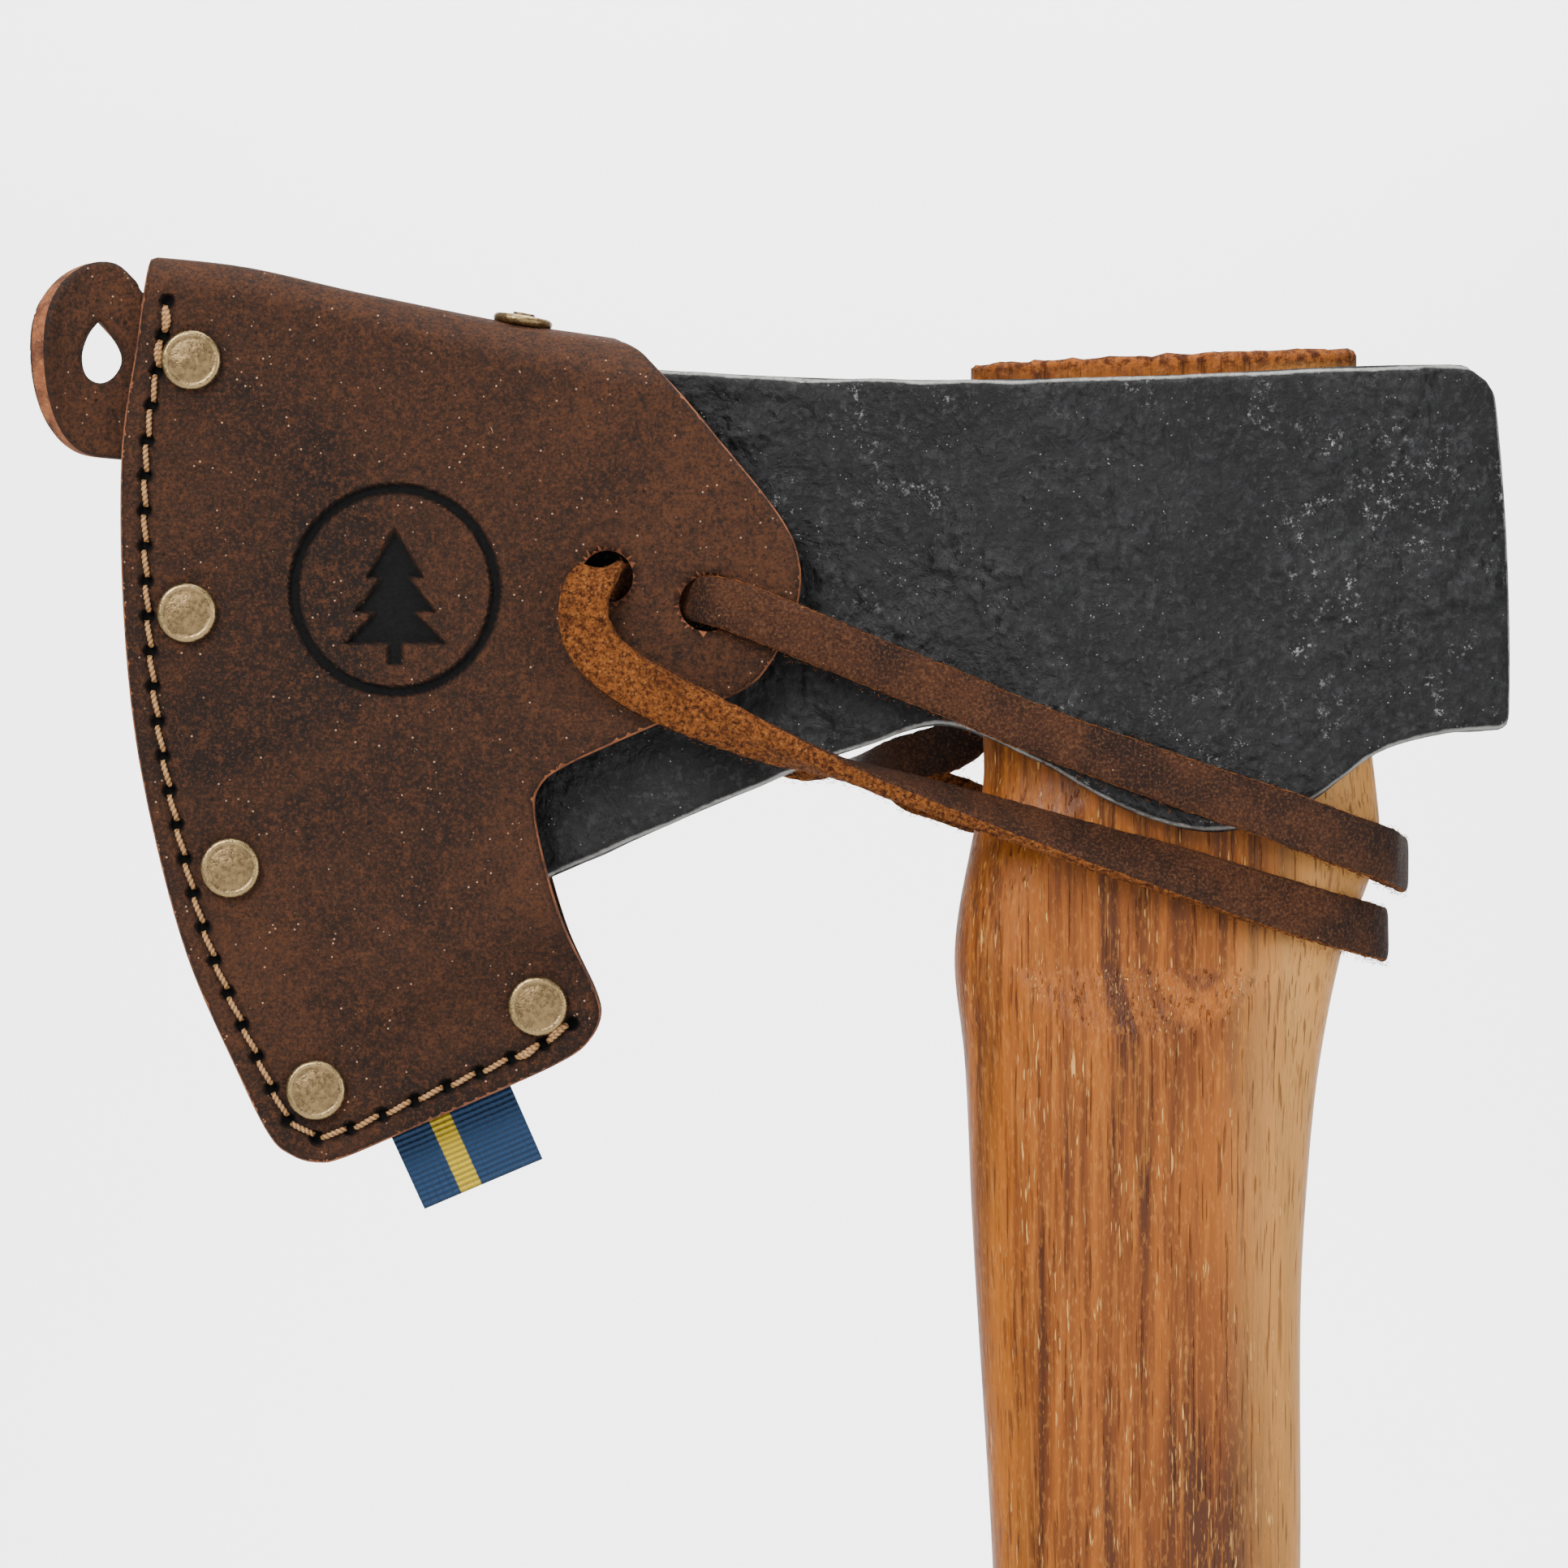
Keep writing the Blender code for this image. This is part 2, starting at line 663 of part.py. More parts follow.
def tab_bend(x, y):
    """Curls the tab towards the near side past the sheath's edge."""
    past = max(0.0, TAB_BEND_AT - x)
    reach = TAB_BEND_AT - min(point[0] for point in TAB_OUTLINE)
    full = math.radians(TAB_BEND_DEG)
    turn = full * past / reach
    radius = reach / full
    middle_x = max(x, TAB_BEND_AT) - radius * math.sin(turn)
    middle_y = -radius * (1 - math.cos(turn))
    return middle_x - y * math.sin(turn), middle_y + y * math.cos(turn)


def make_rivets(look, parent):
    """Each rivet is a cap on the near side and a post with its own cap through from the far side."""
    cap = [(0.0, RIVET_FOOT), (RIVET_HOLE, RIVET_FOOT), (RIVET_HOLE, 0.0)] + RIVET_DOME
    under = [(radius, -rise) for radius, rise in RIVET_DOME]
    for number, (x, height) in enumerate(RIVETS, 1):
        seat = LEATHER + GAP + max(panel_gap(*point) for point in circle(x, height, RIVET_CAP, 8))
        tip = 2 * seat + RIVET_FOOT - GAP
        post = [(0.0, tip), (RIVET_POST, tip), (RIVET_POST, 0.0)] + under
        near = finish(f"rivet_cap_{number}", turned(cap), look, parent)
        near.location = (x * MM, -seat * MM, (HEAD_TOP + height) * MM)
        near.rotation_euler.x = math.pi / 2
        far = finish(f"rivet_post_{number}", turned(post), look, parent)
        far.location = (x * MM, seat * MM, (HEAD_TOP + height) * MM)
        far.rotation_euler.x = math.pi / 2
    tilt = fold_tilt()
    up = Vector((math.sin(tilt), 0, math.cos(tilt)))
    place = Vector((STUD_X, 0, HEAD_TOP + fold_size(STUD_X)[0]))
    clear = GAP + FOLD_CLEAR
    stud_cap = finish("stud_cap", turned(cap), look, parent)
    stud_cap.location = (place + up * clear) * MM
    stud_cap.rotation_euler.y = tilt
    tip = LEATHER + 2 * clear + RIVET_FOOT - GAP
    back = [(0.0, tip), (RIVET_POST, tip), (RIVET_POST, 0.0), *STUD_BACK]
    stud_post = finish("stud_post", turned(back), look, parent)
    stud_post.location = (place - up * (LEATHER + clear)) * MM
    stud_post.rotation_euler.y = tilt


def stitch_points():
    """The stitch holes, an even step apart and an even inset from the sheath's edge."""
    fine = smooth_path(SHEATH_OUTLINE, 0.5)
    steps = np.gradient(fine, axis=0)
    normals = np.stack([-steps[:, 1], steps[:, 0]], axis=1)
    inset = fine + STITCH_INSET * normals / np.linalg.norm(normals, axis=1)[:, None]
    start = int(np.argmin(np.abs(inset[:200, 1] - STITCH_START_HEIGHT)))
    end = int(np.argmin(np.linalg.norm(inset - np.array(STITCH_END), axis=1)))
    run = inset[start : end + 1]
    length = np.concatenate([[0], np.cumsum(np.linalg.norm(np.diff(run, axis=0), axis=1))])
    return [
        (np.interp(at, length, run[:, 0]), np.interp(at, length, run[:, 1]))
        for at in np.linspace(0, length[-1], STITCHES)
    ]


def make_threads(look, parent):
    for name, side in (("thread_near", -1), ("thread_far", 1)):
        path = []
        for x, height in stitch_points():
            skin = leather_place(x, unroll(x, height), True)
            path.append((x, side * (-skin.y + GAP + THREAD_RADIUS), skin.z))
        sweep(name, path, THREAD_SIDES, THREAD_RADIUS, look, parent)


def mirrored(run):
    """The same run of lace on the far side."""
    return [(x, -y, height, -turn, wide) for x, y, height, turn, wide in run]


def lace_route():
    """The whole lace: from its first end on the far side through the far holes, round the handle's back,
    through the near holes, and round the back again to its last end on the far side."""
    far_out = mirrored(LACE_LOWER[:LACE_FAR_START][::-1] + LACE_THROUGH[::-1] + LACE_UPPER)
    near = LACE_UPPER[::-1] + LACE_THROUGH + LACE_LOWER
    far_back = mirrored(LACE_LOWER[::-1])[:LACE_FAR_END]
    return LACE_FIRST_END + far_out + [LACE_BACK_UPPER] + near + [LACE_BACK_LOWER] + far_back + LACE_LAST_END


def make_lace(look, parent):
    path = smooth_path(lace_route(), LACE_STEP)
    rings = []
    for k, (x, y, height, turn, wide) in enumerate(path):
        before, after = path[max(0, k - 1)][:3], path[min(len(path) - 1, k + 1)][:3]
        tangent = Vector(after - before).normalized()
        face = Vector((math.cos(math.radians(turn)), math.sin(math.radians(turn)), 0))
        face = (face - tangent * face.dot(tangent)).normalized()
        across = tangent.cross(face) * (LACE_WIDTH / 2 * wide)
        out = face * (LACE_THICK / 2)
        middle = Vector((x, y, HEAD_TOP + height))
        corners = ((1, 1), (-1, 1), (-1, -1), (1, -1))
        rings.append([middle + across * sideways + out * outward for sideways, outward in corners])
    finish("lace", loft(rings), look, parent)


def main():
    for old in list(bpy.data.objects):
        bpy.data.objects.remove(old, do_unlink=True)
    steel = material("forged_steel", (0.045, 0.045, 0.048), 0.42, 0.85)
    ash = material("oiled_wood", (0.48, 0.25, 0.10), 0.45)
    wedge_wood = material("wedge_wood", (0.55, 0.34, 0.17), 0.6)
    brown = material("brown_leather", (0.09, 0.052, 0.033), 0.75)
    raw = material("raw_leather", (0.38, 0.20, 0.09), 0.7)
    brass = material("antique_brass", (0.30, 0.23, 0.12), 0.4, 0.9)
    linen = material("tan_thread", (0.56, 0.36, 0.18), 0.7)
    suede = material("suede_lace", (0.33, 0.15, 0.05), 0.85)
    ribbon = material("woven_ribbon", (0.01, 0.07, 0.26), 0.8)

    handle = make_handle(ash)
    kerf = finish("wedge_kerf", loft(wedge_rings(GAP)), wedge_wood)
    as_cutter(kerf, handle)
    finish("eye_wedge", loft(wedge_rings(0.0)), wedge_wood)
    head = make_head(steel)
    heights = [585.0, 592.0, 596.0, 599.0, 602.0, 606.0, 612.0, 630.0, 645.0, 656.0, 664.0]
    eye = finish("eye_cutter", loft([handle_section(height, clearance=GAP) for height in heights]), steel)
    as_cutter(eye, head)

    sheath = bpy.data.objects.new("sheath_slide", None)
    bpy.context.collection.objects.link(sheath)
    make_leather(brown, sheath)
    make_welt(raw, sheath)
    tab = smooth_path(TAB_OUTLINE + TAB_OUTLINE[:1], 3.5)[:-1]
    tab_hole = smooth_path(TAB_HOLE + TAB_HOLE[:1], 2.0)[:-1]
    rivet_hole = circle(*RIVETS[0], RIVET_HOLE, 10)
    slab("hang_tab", tab, [tab_hole, rivet_hole], WELT / 2, brown, sheath, tab_bend)
    slab("woven_tag", np.array(TAG_CORNERS), [], TAG_HALF, ribbon, sheath)
    make_rivets(brass, sheath)
    make_threads(linen, sheath)
    make_lace(suede, sheath)


SEAM = np.array(SHEATH_OUTLINE[SEAM_POINTS])
main()
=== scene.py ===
"""Dresses the felling axe: forged head, oiled handle, and the stitched leather sheath with its lace.

Lengths are millimetres in the sizes and helpers below, and become metres as each mesh is made. Heights on
the head and the sheath are counted from the head's top line.
"""

import math
import random

import bmesh
import bpy
import numpy as np
from mathutils import Matrix, Vector, noise
from mathutils.geometry import delaunay_2d_cdt


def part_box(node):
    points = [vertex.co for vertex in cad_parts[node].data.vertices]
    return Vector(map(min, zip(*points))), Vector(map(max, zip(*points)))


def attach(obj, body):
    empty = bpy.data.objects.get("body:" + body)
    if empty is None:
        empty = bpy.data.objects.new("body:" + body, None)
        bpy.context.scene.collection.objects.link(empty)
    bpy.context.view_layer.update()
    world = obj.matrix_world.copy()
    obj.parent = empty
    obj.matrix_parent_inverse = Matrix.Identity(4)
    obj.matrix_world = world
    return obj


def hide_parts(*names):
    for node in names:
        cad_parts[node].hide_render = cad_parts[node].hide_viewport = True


bl_info = {
    "name": "Felling axe",
    "version": (1, 0, 0),
    "blender": (4, 5, 0),
    "location": "View3D > Sidebar > Axe",
    "description": "Builds the felling axe and its leather sheath",
    "category": "Object",
}

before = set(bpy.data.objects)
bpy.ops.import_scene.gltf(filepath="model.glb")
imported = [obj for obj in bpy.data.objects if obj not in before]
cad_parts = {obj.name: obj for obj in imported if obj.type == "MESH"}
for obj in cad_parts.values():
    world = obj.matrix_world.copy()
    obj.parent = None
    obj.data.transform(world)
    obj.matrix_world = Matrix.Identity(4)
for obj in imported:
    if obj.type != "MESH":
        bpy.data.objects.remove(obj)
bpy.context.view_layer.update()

MM = 0.001

HANDLE_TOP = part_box("handle")[1][2] / MM
HEAD_TOP = HANDLE_TOP - 4.2

# The handle: (height, front, rear, half thickness) from the butt up, and the flats where it meets the head.
HANDLE_SHAPE = [
    (0.0, -23.5, 20.0, 12.0), (5.0, -26.4, 22.8, 13.8), (16.0, -25.8, 23.0, 14.2),
    (38.0, -19.6, 22.2, 13.4), (68.0, -13.0, 20.8, 12.2), (110.0, -12.0, 19.4, 11.8),
    (170.0, -17.2, 15.2, 11.7), (240.0, -21.4, 12.2, 11.6), (310.0, -22.0, 12.6, 11.6),
    (380.0, -20.8, 15.2, 11.8), (440.0, -21.0, 17.4, 12.1), (498.0, -22.9, 18.3, 12.5),
    (545.0, -25.7, 18.9, 12.9), (566.0, -26.7, 21.0, 13.2), (579.0, -28.0, 23.6, 13.2),
    (596.0, -25.4, 28.9, 12.2), (602.0, -24.2, 28.4, 10.8), (610.0, -24.2, 27.4, 10.4),
    (656.0, -25.8, 25.8, 10.4), (661.0, -25.8, 25.8, 10.4),
]
CHEEK_HALF = 10.4
CHEEK_END = 578.0
CHEEK_RISE = 0.30
HANDLE_ROUNDNESS = 2.3
# The top end falls away towards the front. The growth rings' middle is in metres.
TOP_SLOPE = 0.045
TOP_SLOPE_REAR = 26
HEART_X, HEART_Y = 0.0085, 0.0025

# The head from the side, bit to poll, and its half thickness by the share of the way along it.
TOP_LINE = [(-122.0, 7.6), (-95.0, 3.8), (-67.0, 1.2), (-30.0, -0.4), (0.0, 0.1), (28.0, 1.4), (43.0, 1.6)]
UNDER_LINE = [
    (-112.0, -75.6), (-104.0, -75.6), (-81.5, -66.3), (-60.4, -57.0), (-41.0, -49.3), (-29.0, -46.2),
    (-18.0, -50.6), (-4.0, -58.0), (6.0, -60.4), (18.0, -56.9), (28.0, -49.8), (36.0, -47.4),
    (45.3, -46.9),
]
HEAD_HALF = [
    (0.0, 0.25), (0.05, 1.3), (0.14, 2.7), (0.26, 4.6), (0.38, 6.9), (0.47, 9.0), (0.54, 11.4),
    (0.60, 13.6), (0.66, 14.5), (0.86, 14.5), (1.0, 13.8),
]
EDGE_BULGE = 8.2
BULGE_REACH = 0.42
HEAD_CORNER = 1.5
# Dents in the cheeks: (scale, depth).
DENTS = ((0.055, 0.45), (0.22, 0.22), (0.7, 0.08))

# The sheath: leather and welt thickness, the fold's top line, and half the space between the panels by x.
LEATHER = 2.8
WELT = 3.0
GAP = 0.3
FOLD_LINE = [(-139.0, 16.9), (-124.0, 15.4), (-106.5, 11.6), (-89.3, 8.2), (-73.0, 5.6), (-45.0, 1.5)]
SHEATH_GAP = [
    (-140.0, 1.8), (-127.0, 1.8), (-115.0, 2.5), (-100.0, 4.2), (-86.0, 6.4), (-75.0, 8.2),
    (-61.0, 9.6), (-46.0, 10.6),
]
SEAM_FLAT = 9.0
SEAM_RISE = 12.0
SHEATH_OUTLINE = [
    (-135.6, 16.6), (-137.1, 5.0), (-139.2, -10.4), (-138.9, -32.0), (-136.6, -52.3), (-131.0, -75.3),
    (-123.6, -92.7), (-119.4, -101.0), (-116.6, -103.5), (-113.3, -104.5), (-109.3, -103.8),
    (-97.5, -98.7), (-87.6, -94.4), (-81.1, -91.4), (-77.4, -89.0), (-75.4, -85.6), (-75.9, -81.8),
    (-79.8, -73.5), (-82.4, -65.2), (-83.9, -57.7), (-83.2, -54.3), (-79.6, -51.5), (-67.1, -45.9),
    (-56.7, -41.8), (-52.6, -38.0), (-49.2, -31.0), (-48.7, -24.7), (-51.4, -18.4), (-60.0, -7.6),
    (-67.5, 1.4), (-70.2, 4.2), (-73.0, 5.6),
]
SEAM = np.array(SHEATH_OUTLINE[2:15])

STITCH_FIRST_HEIGHT = 10.6
STITCH_LAST = (-79.4, -85.8)
SEAM_ZONE = 1.7

RIVETS = [(-129.8, 2.5), (-130.4, -31.2), (-124.6, -65.2), (-113.2, -94.8), (-83.6, -83.6)]
STUD_X = -85.8
RIVET_HOLE = 2.2
# Filling points keep this far from a border.
EDGE_CLEAR = 0.12
STITCHES = 34
STITCH_INSET = 3.3
LACE_HOLES = [(-61.0, -30.1, 3.7), (-74.3, -26.5, 3.5)]
STAMP_PLACE = (-102.6, -28.2)
STAMP_ZONE = 15.8
STAMP_RING = 13.5
# The fir's tiers: (top, base, half width).
FIR_TIERS = ((8.2, 1.6, 4.0), (4.2, -3.0, 5.6), (-0.2, -7.2, 7.0))

TAB_OUTLINE = [
    (-125.4, 10.6), (-135.6, 11.4), (-137.6, 13.4), (-140.2, 15.6), (-144.0, 15.6), (-148.0, 13.4),
    (-151.4, 9.4), (-152.6, 4.6), (-151.8, -1.2), (-149.2, -6.4), (-145.4, -9.6), (-140.6, -10.5),
    (-134.0, -10.7), (-127.4, -10.7), (-126.4, -4.0),
]
TAB_HOLE = [
    (-142.6, 7.9), (-140.4, 5.2), (-139.4, 2.6), (-140.6, 0.4), (-142.6, -0.4), (-144.6, 0.6),
    (-145.2, 3.2), (-144.2, 6.0),
]
TAB_BEND_AT = -139.4
TAB_BEND_DEG = 62.0
TAG_CORNERS = [(-104.9, -97.8), (-98.9, -110.9), (-83.1, -104.2), (-88.9, -91.0)]

LACE_THICK = 1.75
LACE_FIBRES = 5200

# The view, in metres: how far the camera stands off, the width it takes in, and its centre.
CAMERA_DISTANCE = 1.15
CAMERA_CLEAR = 0.012
VIEW_WIDTH = 0.2077
VIEW_CENTRE = (-0.0508, (HEAD_TOP - 54.0) * MM)
SENSOR_WIDTH = 36.0
AXE_MIDDLE = Vector((-0.045, 0, 0.6))
BACKDROP_MIDDLE = Vector((0.0, 5.0, 0.5))
LAMPS = (
    ("key", (-0.70, -0.95, 1.35), 0.7, 24.0, AXE_MIDDLE),
    ("fill", (1.15, -1.1, 0.75), 1.0, 11.0, AXE_MIDDLE),
    ("top", (0.1, 0.10, 1.65), 0.8, 14.0, AXE_MIDDLE),
    ("low", (0.0, -1.3, 0.15), 0.9, 4.0, AXE_MIDDLE),
    ("backdrop_wash", (0.0, 3.4, 2.6), 2.4, 330.0, BACKDROP_MIDDLE),
)


# ---------------------------------------------------------------- curves and outlines


def key_curve(keys, at):
    """Smooth values at each place, through (place, value) keys in rising order of place."""
    places = np.array([key[0] for key in keys], float)
    values = np.array([key[1] for key in keys], float)
    slopes = np.gradient(values, places)
    at = np.clip(np.asarray(at, float), places[0], places[-1])
    i = np.clip(np.searchsorted(places, at, side="right") - 1, 0, len(places) - 2)
    span = places[i + 1] - places[i]
    t = (at - places[i]) / span
    rise = values[i + 1] - values[i]
    bend = span * ((1 - t) * slopes[i] - t * slopes[i + 1]) + (2 * t - 1) * rise
    return values[i] + t * rise + t * (1 - t) * bend


def smooth_path(points, step):
    """Points about step apart along a Catmull-Rom curve through the given ones."""
    given = np.array(points, float)
    size = min(3, given.shape[1])
    padded = np.vstack([2 * given[0] - given[1], given, 2 * given[-1] - given[-2]])
    made = [given[0]]
    for before, start, end, after in zip(padded, padded[1:], padded[2:], padded[3:]):
        pieces = max(1, round(np.linalg.norm(end[:size] - start[:size]) / step))
        for k in range(1, pieces + 1):
            t = k / pieces
            curved = 2 * start + (end - before) * t + (2 * before - 5 * start + 4 * end - after) * t**2
            made.append(0.5 * (curved + (3 * start - before - 3 * end + after) * t**3))
    return np.array(made)


def circle(x, height, radius, sides):
    """Points round a circle in the side view."""
    turns = np.linspace(0, 2 * math.pi, sides, endpoint=False)
    return np.stack([x + radius * np.cos(turns), height + radius * np.sin(turns)], axis=1)


def inside(points, loop):
    """Which points lie inside a closed loop."""
    result = np.zeros(len(points), bool)
    for (x1, y1), (x2, y2) in zip(loop, np.roll(loop, -1, axis=0)):
        crosses = (y1 > points[:, 1]) != (y2 > points[:, 1])
        if y1 != y2:
            result ^= crosses & (points[:, 0] < (x2 - x1) * (points[:, 1] - y1) / (y2 - y1) + x1)
    return result


def distance_to(points, path):
    """Each point's distance to a path of straight pieces."""
    points = np.asarray(points, float).reshape(-1, 2)
    nearest = np.full(len(points), np.inf)
    for a, b in zip(path, path[1:]):
        along = b - a
        if not along.any():
            continue
        t = np.clip(((points - a) @ along) / (along @ along), 0, 1)
        nearest = np.minimum(nearest, np.linalg.norm(points - a - t[:, None] * along, axis=1))
    return nearest


def closed(loop):
    """The loop with its first point again at the end."""
    return np.vstack([loop, loop[:1]])


def rounded(cut, radius):
    """How far a rounded edge drops, by the distance from the cut."""
    near = np.minimum(cut, radius)
    return np.where(cut < radius, radius - np.sqrt(np.maximum(0, radius**2 - (radius - near) ** 2)), 0)


def ease(value, low, high):
    """A smooth rise from 0 at low to 1 at high."""
    t = np.clip((value - low) / (high - low), 0, 1)
    return t * t * (3 - 2 * t)


def lattice(low, high, step):
    """Staggered rows of points over a box."""
    rows = []
    for k, height in enumerate(np.arange(low[1], high[1], step * 0.87)):
        xs = np.arange(low[0] + (k % 2) * step / 2, high[0], step)
        rows.append(np.stack([xs, np.full(len(xs), height)], axis=1))
    return np.vstack(rows)


def inset_rings(loop, steps, towards):
    """Copies of a loop moved sideways, towards +1 for inside a loop that runs anticlockwise."""
    ahead = np.roll(loop, -1, axis=0) - np.roll(loop, 1, axis=0)
    side = np.stack([-ahead[:, 1], ahead[:, 0]], axis=1) * towards
    side /= np.linalg.norm(side, axis=1)[:, None]
    return np.vstack([loop + side * step for step in steps])


def fill_flat(border, holes, free):
    """Points and triangles that fill a border and leave its holes open."""
    loops = [np.asarray(loop, float) for loop in (border, *holes)]
    count = np.cumsum([0] + [len(loop) for loop in loops])
    edges = []
    for start, loop in zip(count, loops):
        edges += [(int(start + k), int(start + (k + 1) % len(loop))) for k in range(len(loop))]
    kept = inside(free, loops[0])
    for hole in loops[1:]:
        kept &= ~inside(free, hole)
    for loop in loops:
        kept &= distance_to(free, closed(loop)) > EDGE_CLEAR
    coords = [Vector(point) for point in np.vstack([*loops, free[kept]])]
    found = delaunay_2d_cdt(coords, edges, [], 0, 1e-5)
    points = np.array([tuple(point) for point in found[0]])
    faces = np.array([face for face in found[2] if len(face) == 3])
    middles = points[faces].mean(axis=1)
    used = inside(middles, loops[0])
    for hole in loops[1:]:
        used &= ~inside(middles, hole)
    return points, faces[used]


def border_edges(faces):
    """The edges that only one triangle has, in its own direction."""
    ends = np.concatenate([faces[:, [0, 1]], faces[:, [1, 2]], faces[:, [2, 0]]])
    _, index, count = np.unique(np.sort(ends, axis=1), axis=0, return_inverse=True, return_counts=True)
    return ends[count[index.reshape(-1)] == 1]


# ---------------------------------------------------------------- meshes


def mesh_of(bm, name):
    """A mesh in metres from one built in millimetres."""
    bmesh.ops.recalc_face_normals(bm, faces=bm.faces)
    bmesh.ops.scale(bm, vec=(MM, MM, MM), verts=bm.verts)
    mesh = bpy.data.meshes.new(name)
    bm.to_mesh(mesh)
    bm.free()
    return mesh


def finish_piece(name, bm, looks, body, replaced, marks=None, sharp=50):
    """A finished piece, riding on a body. marks are float values for each vertex, by name."""
    mesh = mesh_of(bm, name)
    mesh.shade_smooth()
    mesh.set_sharp_from_angle(angle=math.radians(sharp))
    for look in looks:
        mesh.materials.append(look)
    for mark, values in (marks or {}).items():
        layer = mesh.attributes.new(mark, "FLOAT", "POINT")
        layer.data.foreach_set("value", np.asarray(values, np.float32))
    piece = bpy.data.objects.new(name, mesh)
    bpy.context.collection.objects.link(piece)
    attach(piece, body)
    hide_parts(*replaced)
    return piece


def dress_node(name, look):
    """Gives one of the frame's own nodes a look."""
    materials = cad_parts[name].data.materials
    materials.clear()
    materials.append(look)


def skin_over(bm, loops):
    """Faces from each loop of vertices to the next, and over the two ends."""
    for first, second in zip(loops, loops[1:]):
        for k in range(len(first)):
            after = (k + 1) % len(first)
            bm.faces.new((first[k], first[after], second[after], second[k]))
    bm.faces.new(loops[0])
    bm.faces.new(loops[-1])


def loft(rings):
    """A closed skin over rings of points."""
    bm = bmesh.new()
    skin_over(bm, [[bm.verts.new(point) for point in ring] for ring in rings])
    return bm


def turned(profile, sides):
    """A turned piece about Z from its (radius, height) points, the first and last on the axis."""
    bm = bmesh.new()
    points = [bm.verts.new((radius, 0, height)) for radius, height in profile]
    edges = [bm.edges.new(pair) for pair in zip(points, points[1:])]
    bmesh.ops.spin(
        bm,
        geom=points + edges,
        axis=(0, 0, 1),
        cent=(0, 0, 0),
        angle=2 * math.pi,
        steps=sides,
        use_merge=True,
    )
    bmesh.ops.remove_doubles(bm, verts=bm.verts, dist=0.0005)
    return bm


def two_skins(faces, outer, inner, open_at=None):
    """Two skins over the same flat triangles, walled along the borders. Walls take material slot 1."""
    bm = bmesh.new()
    skins = [[bm.verts.new(place) for place in skin] for skin in (outer, inner)]
    for a, b, c in faces:
        bm.faces.new((skins[0][a], skins[0][b], skins[0][c]))
        bm.faces.new((skins[1][c], skins[1][b], skins[1][a]))
    for a, b in border_edges(faces):
        if open_at is not None and open_at[a] and open_at[b]:
            continue
        wall = bm.faces.new((skins[0][b], skins[0][a], skins[1][a], skins[1][b]))
        wall.material_index = 1
    return bm


def mark_skins(bm, marks):
    """Sets float marks, by name, on both skins and drops loose points. Gives the marks' layers."""
    layers = {name: bm.verts.layers.float.new(name) for name in marks}
    bm.verts.ensure_lookup_table()
    for name, values in marks.items():
        for k, value in enumerate(values):
            for vert in (bm.verts[k], bm.verts[k + len(values)]):
                vert[layers[name]] = value
    bmesh.ops.delete(bm, geom=[vert for vert in bm.verts if not vert.link_faces], context="VERTS")
    return layers


def cut_away(piece, cutter_mesh):
    """Cuts a closed mesh out of a piece and keeps only the result."""
    cutter = bpy.data.objects.new("cutter", cutter_mesh)
    bpy.context.collection.objects.link(cutter)
    cut = piece.modifiers.new("cut", "BOOLEAN")
    cut.operation = "DIFFERENCE"
    cut.solver = "EXACT"
    cut.object = cutter
    graph = bpy.context.evaluated_depsgraph_get()
    result = bpy.data.meshes.new_from_object(piece.evaluated_get(graph))
    piece.modifiers.clear()
    old = piece.data
    piece.data = result
    bpy.data.meshes.remove(old)
    bpy.data.objects.remove(cutter, do_unlink=True)


# ---------------------------------------------------------------- materials


class Wire:
    """A shader socket that works in ordinary arithmetic."""

    def __init__(self, look, socket):
        self.look, self.socket = look, socket

    def __add__(self, other):
        return self.look.maths("ADD", self, other)

    def __sub__(self, other):
        return self.look.maths("SUBTRACT", self, other)

    def __mul__(self, other):
        return self.look.maths("MULTIPLY", self, other)

    def __pow__(self, other):
        return self.look.maths("POWER", self, other)

    __radd__ = __add__
    __rmul__ = __mul__


